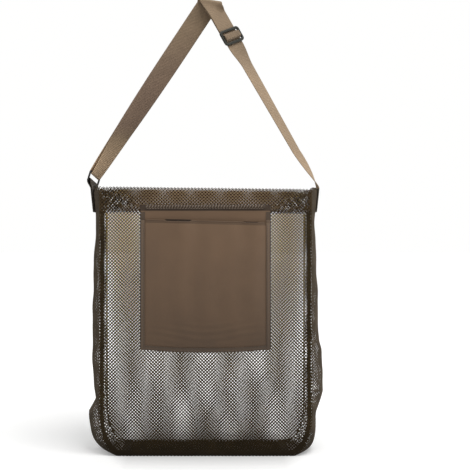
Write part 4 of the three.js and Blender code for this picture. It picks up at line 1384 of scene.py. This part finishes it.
class FORAGING_OT_hem(Operator):
    """Weave the turned-in layer of the mouth hem"""

    bl_idname = "foraging_bag.hem"
    bl_label = "Mouth hem"

    def execute(self, context):
        netting = settings().netting
        shaded = darker(netting.colour, 0.6)
        between = netting.diamond_width / 2
        panel_cut = rectangle(-HEM_END, HEM_END, RIM + HEM_START, RIM + HEM_HEIGHT)
        gusset_cut = rectangle(-GUSSET_HALF_FLAT, GUSSET_HALF_FLAT, 0.0, HEM_HEIGHT)
        layers = [(side, ("Y", -facing), panel_surface(facing), panel_cut, RIM) for side, facing in FACES]
        layers += [(side, ("X", -hand), gusset_surface(hand)[0], gusset_cut, 0.0) for side, hand in SIDES]
        for side, inside, surface, cut, start in layers:
            finish = netting_finish(f"{side}_hem_finish", shaded, shaded, inside, netting.colour)
            name, node = f"{side}_hem_netting", f"{side}_hem"
            add_net(name, node, "hem_netting", finish, surface, cut, (between, start))
        return {"FINISHED"}


class FORAGING_OT_bindings(Operator):
    """Lay the tapes on the inner seams"""

    bl_idname = "foraging_bag.bindings"
    bl_label = "Seam tapes"

    def execute(self, context):
        netting = settings().netting
        finish = tape_finish("tape_finish", netting.tape_colour, darker(netting.lit_colour, 0.9))
        for side, facing in FACES:
            tape = tape_strip(self.seam_places(facing), SEAM_TAPE)
            make_piece(f"{side}_seam_tape", [tape], finish, "bag", "binding_tape", f"{side}_seam_binding")
        for side, _ in SIDES:
            node = f"{side}_base_binding"
            low, high = corners(node)
            middle = (low + high) / 2
            reach = np.array([(high[0] - low[0]) / 2, 0.0, 0.0])
            course = np.linspace(low[1], high[1], 30)
            places = [(np.array([middle[0], y, middle[2]]), reach, UPRIGHT) for y in course]
            tape = tape_strip(places, BASE_TAPE)
            make_piece(f"{side}_base_tape", [tape], finish, "bag", "binding_tape", node)
        return {"FINISHED"}

    def seam_places(self, facing):
        """Down one side seam, along the base and up the other, leaning into the bag."""
        lean = TAPE_LEAN[facing]
        side_z = np.linspace(HEM_BOTTOM - GAP, CORNER_RISE, 60)
        level, steep, arc_x, arc_z = (row[1:] for row in corner_arc(24))
        x = np.concatenate([np.full(len(side_z), HALF_WIDTH), arc_x])
        z = np.concatenate([side_z, arc_z])
        normal_x = np.concatenate([np.ones(len(side_z)), level * CORNER_RISE])
        normal_z = np.concatenate([np.zeros(len(side_z)), -steep * CORNER_RUN])
        normal = unit(np.stack([normal_x, normal_z], axis=1))
        inward = np.array([0.0, -facing, 0.0])
        depth = NET_THICKNESS + GAP + SEAM_TAPE / 2
        places = []
        for hand, order in ((-1, slice(None)), (1, slice(None, None, -1))):
            for px, pz, (nx, nz) in zip(x[order], z[order], normal[order]):
                outward = np.array([hand * nx, 0.0, nz])
                reach = (inward * math.cos(lean) - outward * math.sin(lean)) * SEAM_TAPE_WIDTH / 2
                edge = np.array([hand * px, facing * inner_half_depth(pz), pz]) - outward * depth
                lift = unit(outward * math.cos(lean) + inward * math.sin(lean))
                places.append((edge + reach, reach, lift))
        return places


class FORAGING_OT_pocket(Operator):
    """Make the pocket's cloth: backing, front and turned mouth hem"""

    bl_idname = "foraging_bag.pocket"
    bl_label = "Pocket"

    def execute(self, context):
        colour = settings().pocket.colour
        # Painted shade along the turned-in strip under the mouth's edge.
        mouth_shade = band(MOUTH_LEVEL - MOUTH_STRIP, RIM, 0.42, slant=MOUTH_SLANT)
        finish = cloth_finish("pocket_finish", colour, 0.06, [mouth_shade])
        under_top = corners("pocket_top_binding")[0][2]
        # Painted shade on the backing: a shadow line under the overlocked top edge, the dark inside of the
        # pocket below the mouth, and deeper shade where the mouth sags open.
        shades = [
            band(under_top - 0.0032, RIM, 0.9),
            band(POCKET_BOTTOM, MOUTH_LEVEL + 0.0006, 0.8, slant=MOUTH_SLANT),
            band(POCKET_BOTTOM, MOUTH_LEVEL + 0.0026, 0.95, -0.062, -0.020, MOUTH_SLANT),
            band(POCKET_BOTTOM, MOUTH_LEVEL + 0.0018, 0.8, 0.055, 0.081, MOUTH_SLANT),
        ]
        backing_finish = cloth_finish("pocket_backing_finish", colour, 0.06, shades)

        columns = np.linspace(-HALF_POCKET, HALF_POCKET, 79)
        rows = np.linspace(0.0, 1.0, 60)[:, None]
        x = columns[None] + 0 * rows
        z = mix(pocket_bottom_edge(x), POCKET_TOP, rows)
        backing = layer(x, backing_face(x, z) + CLOTH, z)
        name, node = "pocket_back_cloth", "pocket_backing"
        obj = make_piece(name, [backing], backing_finish, "bag", "pocket_cloth", node)

        x, y, z = pocket_grid(columns, np.linspace(0.0, 1.0, 80))
        front = layer(x, y + CLOTH, z)
        obj = make_piece("pocket_front_cloth", [front], finish, "bag", "pocket_cloth", "pocket_front")

        inner = columns[np.abs(columns) < HALF_POCKET - EDGE_WIDTH - 0.001]
        x, y, z = pocket_grid(inner, np.linspace(1 - MOUTH_HEM / POCKET_FRONT_HEIGHT, 1.0, 8))
        edge = np.stack([x[-1], y[-1] + CLOTH / 2 + MOUTH_ROLL_BACK, z[-1]], axis=1)
        parts = [
            layer(x, y + 2 * CLOTH + GAP, z),
            rounded_tube(edge, UPRIGHT, MOUTH_ROLL_WIDTH, MOUTH_ROLL_DEPTH, closed=False, power=2.0),
        ]
        make_piece("pocket_mouth_turning", parts, finish, "bag", "pocket_cloth", "pocket_mouth_hem")
        return {"FINISHED"}


class FORAGING_OT_pocket_edging(Operator):
    """Bind the pocket's sides, bottom and overlocked top edge"""

    bl_idname = "foraging_bag.pocket_edging"
    bl_label = "Pocket edging"

    def execute(self, context):
        colour = settings().pocket.edge_colour
        finish = cloth_finish("edging_finish", colour, 0.04, [band(POCKET_MOUTH, RIM, 0.6)])
        for side, hand in SIDES:
            columns = hand * np.linspace(HALF_POCKET - EDGE_WIDTH, HALF_POCKET, 6)
            x, y, z = pocket_grid(columns, np.linspace(0.0, 1.0, 100))
            pucker = EDGE_PUCKER * np.sin(turns(z) / EDGE_PUCKER_PITCH)
            pucker = pucker * np.sin(math.pi * np.linspace(0, 1, 6))[None]
            parts = [layer(x, y, z, GAP + np.abs(pucker))]
            rows = np.linspace(0.0, 1.0, 8)[:, None]
            x = columns[None] + 0 * rows
            z = mix(pocket_mouth_edge(x), POCKET_TOP - EDGE_STOP, rows)
            parts.append(layer(x, backing_face(x, z), z, GAP))
            name, node = f"pocket_{side}_edge", f"pocket_{side}_binding"
            make_piece(name, parts, finish, "bag", "pocket_edging", node)
        inner = np.linspace(-HALF_POCKET + EDGE_WIDTH + GAP, HALF_POCKET - EDGE_WIDTH - GAP, 73)
        x, y, z = pocket_grid(inner, np.linspace(0.0, BOTTOM_HEM / POCKET_FRONT_HEIGHT, 5))
        parts = [layer(x, y, z, GAP)]
        make_piece("pocket_bottom_edge", parts, finish, "bag", "pocket_edging", "pocket_bottom_hem")

        low, high = corners("pocket_top_binding")
        _, middle_y, middle_z = (low + high) / 2
        x = np.linspace(low[0], high[0], 90)
        y = middle_y + TOP_EDGE_SWAY * np.sin(turns(x) / TOP_EDGE_SWAY_PITCH)
        z = middle_z + TOP_EDGE_SAG * np.sin(turns(x) / TOP_EDGE_SAG_PITCH)
        path = np.stack([x, y, z], axis=1)
        roll = rounded_tube(path, FORWARD, high[2] - low[2], high[1] - low[1], closed=False)
        finish = cloth_finish("overlock_finish", darker(colour, 0.39), 0.02)
        make_piece("pocket_top_edge", [roll], finish, "bag", "pocket_edging", "pocket_top_binding")
        return {"FINISHED"}


class FORAGING_OT_ring_and_tab(Operator):
    """Bend the wire ring and fold its webbing tab"""

    bl_idname = "foraging_bag.ring_and_tab"
    bl_label = "Ring and tab"

    def execute(self, context):
        strap = settings().strap
        outline = rounded_outline(RING_HALF_INSIDE + RING_WIRE / 2, RING_PITCH / 2, RING_CORNER)
        path = (LOWER_BAR + UPPER_BAR) / 2 + outline[:, :1] * BARWAY + outline[:, 1:] * RING_UP
        out = np.cross(BARWAY, RING_UP)
        wire = rounded_tube(path, out, RING_WIRE, RING_WIRE, sides=14, power=2.0)
        finish = wire_finish("ring_finish", strap.ring_colour)
        make_piece("wire_ring", [wire], finish, "ring", "ring_wire", "strap_ring")

        def tab_leg(length):
            width = unit(mix(BARWAY, DEPTHWISE, ease(length, RING_WIRE, RING_LIFT)))
            height = LOWER_BAR[2] - length
            place = np.array([LOWER_BAR[0] + drawn_in(height), 0.0, height])
            return place, width * HALF_STRAP, unit(np.cross(width, UPRIGHT))

        lengths = spaced(0.0, LOWER_BAR[2] - HEM_BOTTOM, TURN_STEP)
        run = folded_run(LOWER_BAR, lengths, tab_leg, lambda length: ply_spread(length, RING_LIFT))
        finish = webbing_finish("tab_finish", strap.tab_colour)
        add_webbing("ring_tab_webbing", [run], finish, "bag", "ring_tab", "tab_webbing")
        return {"FINISHED"}


class FORAGING_OT_strap(Operator):
    """Lay the strap's webbing from the ring over the fold to the right gusset"""

    bl_idname = "foraging_bag.strap"
    bl_label = "Strap"

    def execute(self, context):
        strap = settings().strap
        # The strap's webbing carries painted light and shade along its legs.
        finish = webbing_finish("webbing_finish", strap.colour, tuple(strap.left_leg_shade_colour))
        run = strap_run(1, RIGHT_LENGTH + GAP + LAP)
        add_webbing("strap_outer_run", [run], finish, "strap", "strap_main")
        add_webbing("strap_return_run", [strap_run(-1, SLIDER_AT)], finish, "strap", "strap_return")
        # Round the ring's bar the webbing follows the ring, and above it bends with the strap
        split = tuple(left_leg(WRAP_LENGTH)[0])
        run = folded_run(UPPER_BAR, spaced(0.0, WRAP_LENGTH, TURN_STEP), left_leg, ply_spread)
        wrap = add_webbing("ring_wrap_webbing", [run], finish, None)
        tuple(UPPER_BAR)
        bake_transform(wrap)
        lengths = spaced(WRAP_LENGTH - LAP, LOOP_LENGTH)
        plies = [
            [lifted(left_leg(length), side * ply_spread(length)) for length in lengths] for side in (1, -1)
        ]
        loop = add_webbing("ring_loop_webbing", plies, finish, None, "strap_ring_loop")
        tuple(left_leg(LOOP_LENGTH)[0])
        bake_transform(loop)
        places = self.root_places()
        root = add_webbing("right_root_webbing", [places], finish, None, "strap_right_root")
        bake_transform(root)
        low, high = corners("strap_right_end")
        end = [
            (np.array([SEWN_X - drawn_in(z), 0.0, z]), DEPTHWISE * HALF_STRAP, np.array([1.0, 0.0, 0.0]))
            for z in spaced(low[2], high[2] + GAP + LAP)
        ]
        finish = webbing_finish("sewn_end_finish", strap.end_colour)
        add_webbing("sewn_end_webbing", [end], finish, "bag", "strap_right_end")
        return {"FINISHED"}

    def root_places(self):
        """The webbing that bends from the right leg down to the sewn end."""
        start, reach, _ = lifted(right_leg(RIGHT_LENGTH), PLY_PITCH / 2)
        start = start + RIGHT_ALONG * GAP
        end = np.array([SEWN_X, 0.0, RIM + GAP])
        bend = np.array([SEWN_X, 0.0, RIM + ROOT_BEND])
        places = []
        for share in np.linspace(0.0, 1.0, 40):
            middle = mix(mix(start, bend, share), mix(bend, end, share), share)
            along = unit(mix(bend - start, end - bend, share))
            width = unit(mix(unit(reach), DEPTHWISE, ease(share, 0.0, 1.0)))
            places.append((middle, width * HALF_STRAP, unit(np.cross(along, width))))
        return places


class FORAGING_OT_slider(Operator):
    """Mould the three-bar slider and lead the webbing over its middle bar"""

    bl_idname = "foraging_bag.slider"
    bl_label = "Slider"

    def execute(self, context):
        strap = settings().strap
        origin, axes = slider_frame_of_reference()

        def placed(local):
            return origin + np.asarray(local) @ axes

        half_up = SLIDER_HALF_LENGTH - SLIDER_BAR / 2
        outline = rounded_outline(SLOT_HALF + SLIDER_BAR / 2, half_up, SLIDER_CORNER)
        height = np.full((len(outline), 1), GAP + SLIDER_THICKNESS / 2)
        path = placed(np.concatenate([outline, height], axis=1))
        across = np.linspace(-SLOT_HALF - SLIDER_BAR / 4, SLOT_HALF + SLIDER_BAR / 4, 12)
        bar = placed(np.stack([across, 0 * across, 0 * across + GAP + MIDDLE_BAR_HEIGHT / 2], axis=1))
        parts = [
            rounded_tube(path, axes[2], SLIDER_BAR, SLIDER_THICKNESS, sides=20, power=4.0),
            rounded_tube(bar, axes[2], MIDDLE_BAR, MIDDLE_BAR_HEIGHT, closed=False, sides=16),
        ]
        finish = plastic_finish("slider_finish", strap.slider_colour)
        make_piece("slider_moulding", parts, finish, "slider", "slider_plastic", "slider_frame")

        # Painted shade: the webbing over the slider's middle bar is a darker copy of the strap's webbing.
        finish = webbing_finish("slider_webbing_finish", darker(strap.colour, 0.8))
        reach = axes[0] * HALF_STRAP
        for piece, node, lift, lean in (
            ("slider_end_webbing", "slider_end_loop", 0.0, 0.0),
            ("slider_bight_webbing", "slider_bight", PLY_PITCH, BIGHT_LEAN),
        ):
            half, top = MIDDLE_BAR / 2 + WRAP_CLEAR + lift, GAP + MIDDLE_BAR_HEIGHT + WRAP_CLEAR + lift
            run = [
                (placed([0.0, up, z]), reach, axes[1] * math.cos(angle) + axes[2] * math.sin(angle))
                for up, z, angle in self.arch(half, top, lean)
            ]
            add_webbing(piece, [run], finish, "slider", node)
        return {"FINISHED"}

    def arch(self, inner_half, inner_top, lean):
        """Webbing from the strap's face up, over the middle bar and down again: places and turns."""
        round_off = BIGHT_ROUND + WEBBING / 2
        half, top = inner_half + WEBBING / 2, inner_top + WEBBING / 2
        shoulder, spring = half - round_off, top - round_off
        knee = spring + round_off * math.sin(lean)
        knee_half = shoulder + round_off * math.cos(lean)
        foot = GAP + WEBBING / 2 * math.sin(lean)
        places = []
        for z in np.linspace(foot, knee, 4)[:-1]:
            places.append((knee_half + (knee - z) * math.tan(lean), z, lean))
        for angle in np.linspace(lean, math.pi / 2, 8):
            up, z = shoulder + round_off * math.cos(angle), spring + round_off * math.sin(angle)
            places.append((up, z, angle))
        return places + [(-up, z, math.pi - angle) for up, z, angle in places[::-1]]


class FORAGING_OT_stitching(Operator):
    """Sew the hem, the pocket and the strap's ends"""

    bl_idname = "foraging_bag.stitching"
    bl_label = "Stitching"

    def execute(self, context):
        colour = settings().pocket.thread_colour
        pale = thread_finish("pale_thread_finish", colour)
        dark = thread_finish("dark_thread_finish", darker(colour, 0.21))
        tab_face = LOWER_BAR[0] - PLY_PITCH / 2 - WEBBING / 2
        for name, parts, finish, slot in (
            ("hem_stitching", self.hem_rows(), dark, "hem_netting"),
            ("pocket_stitching", self.pocket_rows(), dark, "pocket_edging"),
            ("overlock_stitching", self.overlock(), pale, "pocket_edging"),
            ("tab_stitching", self.box_rows(tab_face, -1), dark, "tab_webbing"),
            ("strap_end_stitching", self.box_rows(SEWN_X + WEBBING / 2, 1), dark, "webbing"),
        ):
            make_piece(name, parts, finish, "bag", slot)
        return {"FINISHED"}

    def hem_rows(self):
        """A row round the mouth along the hem's lower edge, open where the webbing is sewn on."""
        height = HEM_BOTTOM + HEM_ROW
        rows = []
        for _, facing in FACES:
            x = np.linspace(-HEM_END, HEM_END, 160)
            points, normal = on_surface(panel_surface(facing), np.stack([x, 0 * x + height], axis=1))
            rows.append((points, normal * np.sign(normal[:, 1:2]) * facing))
        for _, hand in SIDES:
            y = np.linspace(-GUSSET_HALF_FLAT, GUSSET_HALF_FLAT, 50)
            flat = np.stack([y, 0 * y + height - RIM], axis=1)
            points, normal = on_surface(gusset_surface(hand)[0], flat)
            outward = normal * np.sign(normal[:, :1]) * hand
            for half in (-1, 1):
                clear = half * points[:, 1] > HALF_STRAP + STRAP_CLEAR
                rows.append((points[clear], outward[clear]))
        return [
            part
            for points, outward in rows
            for part in stitches(points + outward * HEM_STITCH_LIFT, outward, HEM_THREAD)
        ]

    def pocket_rows(self):
        """Rows on the bound sides and the bottom."""
        insets = (EDGE_ROW, EDGE_WIDTH - EDGE_ROW)
        columns = [hand * (HALF_POCKET - inset) for _, hand in SIDES for inset in insets]
        grids = [pocket_grid(np.array([column]), np.linspace(0.01, 0.995, 120)) for column in columns]
        across = np.linspace(EDGE_WIDTH - HALF_POCKET, HALF_POCKET - EDGE_WIDTH, 150)
        grids += [pocket_grid(across, np.array([share])) for share in (0.006, 0.029)]
        parts = []
        for x, y, z in grids:
            y = y - (GAP + CLOTH + EDGE_STITCH_LIFT)
            points = np.stack([x.ravel(), y.ravel(), z.ravel()], axis=1)
            parts += stitches(points, FORWARD, EDGE_THREAD, EDGE_STITCH)
        return parts

    def overlock(self):
        """Slanting loops over the pocket's top edge, with a needle row under them."""
        low, high = corners("pocket_top_binding")
        left, right, y = low[0] + OVERLOCK_INSET, high[0] - OVERLOCK_INSET, low[1] - EDGE_STITCH_LIFT
        foot, head, needle = low[2] + OVERLOCK_FOOT, high[2] - OVERLOCK_HEAD, low[2] + NEEDLE_ROW
        parts = []
        for x in np.arange(left, high[0] - OVERLOCK_STOP, OVERLOCK_PITCH):
            loop = ((x, y, foot), (x + OVERLOCK_LEAN, y, head))
            parts += stitches(loop, FORWARD, LOOP_THREAD, OVERLOCK_STITCH, OVERLOCK_GAP)
        row = ((left, low[1], needle), (right, low[1], needle))
        return parts + stitches(row, FORWARD, NEEDLE_THREAD)

    def box_rows(self, x, hand):
        """A sewn box with a cross in it."""
        low, high = HEM_BOTTOM + BOX_INSET, RIM - BOX_INSET
        below, above = (x - hand * drawn_in(z) for z in (low, high))
        corner = ((below, -1, low), (below, 1, low), (above, 1, high), (above, -1, high))
        box = [(place, side * BOX_HALF, z) for place, side, z in corner]
        rows = [*zip(box, box[1:] + box[:1]), (box[0], box[2]), (box[1], box[3])]
        outward = np.array([float(hand), 0.0, 0.0])
        return [part for row in rows for part in stitches(row, outward, NEEDLE_THREAD, BOX_STITCH)]


BUILD_STEPS = (
    FORAGING_OT_stage,
    FORAGING_OT_netting,
    FORAGING_OT_hem,
    FORAGING_OT_bindings,
    FORAGING_OT_pocket,
    FORAGING_OT_pocket_edging,
    FORAGING_OT_ring_and_tab,
    FORAGING_OT_strap,
    FORAGING_OT_slider,
    FORAGING_OT_stitching,
)


class FORAGING_PT_sidebar(Panel):
    """Settings and steps of the foraging bag"""

    bl_idname = "FORAGING_PT_sidebar"
    bl_label = "Foraging bag"
    bl_space_type = "VIEW_3D"
    bl_region_type = "UI"
    bl_category = "Foraging bag"

    def draw(self, context):
        for group in ("netting", "pocket", "strap", "stage"):
            box = self.layout.box()
            box.label(text=group.title())
            values = getattr(settings(), group)
            for name in values.__annotations__:
                box.prop(values, name)
        for step in BUILD_STEPS:
            self.layout.operator(step.bl_idname)


CLASSES = (
    NettingSettings,
    PocketSettings,
    StrapSettings,
    StageSettings,
    BagSettings,
    *BUILD_STEPS,
    FORAGING_PT_sidebar,
)


def register():
    for cls in CLASSES:
        bpy.utils.register_class(cls)
    bpy.types.Scene.foraging_bag = PointerProperty(type=BagSettings)


def unregister():
    del bpy.types.Scene.foraging_bag
    for cls in reversed(CLASSES):
        bpy.utils.unregister_class(cls)


def main():
    register()
    for step in BUILD_STEPS:
        group, name = step.bl_idname.split(".")
        getattr(getattr(bpy.ops, group), name)()


if __name__ == "__main__":
    main()
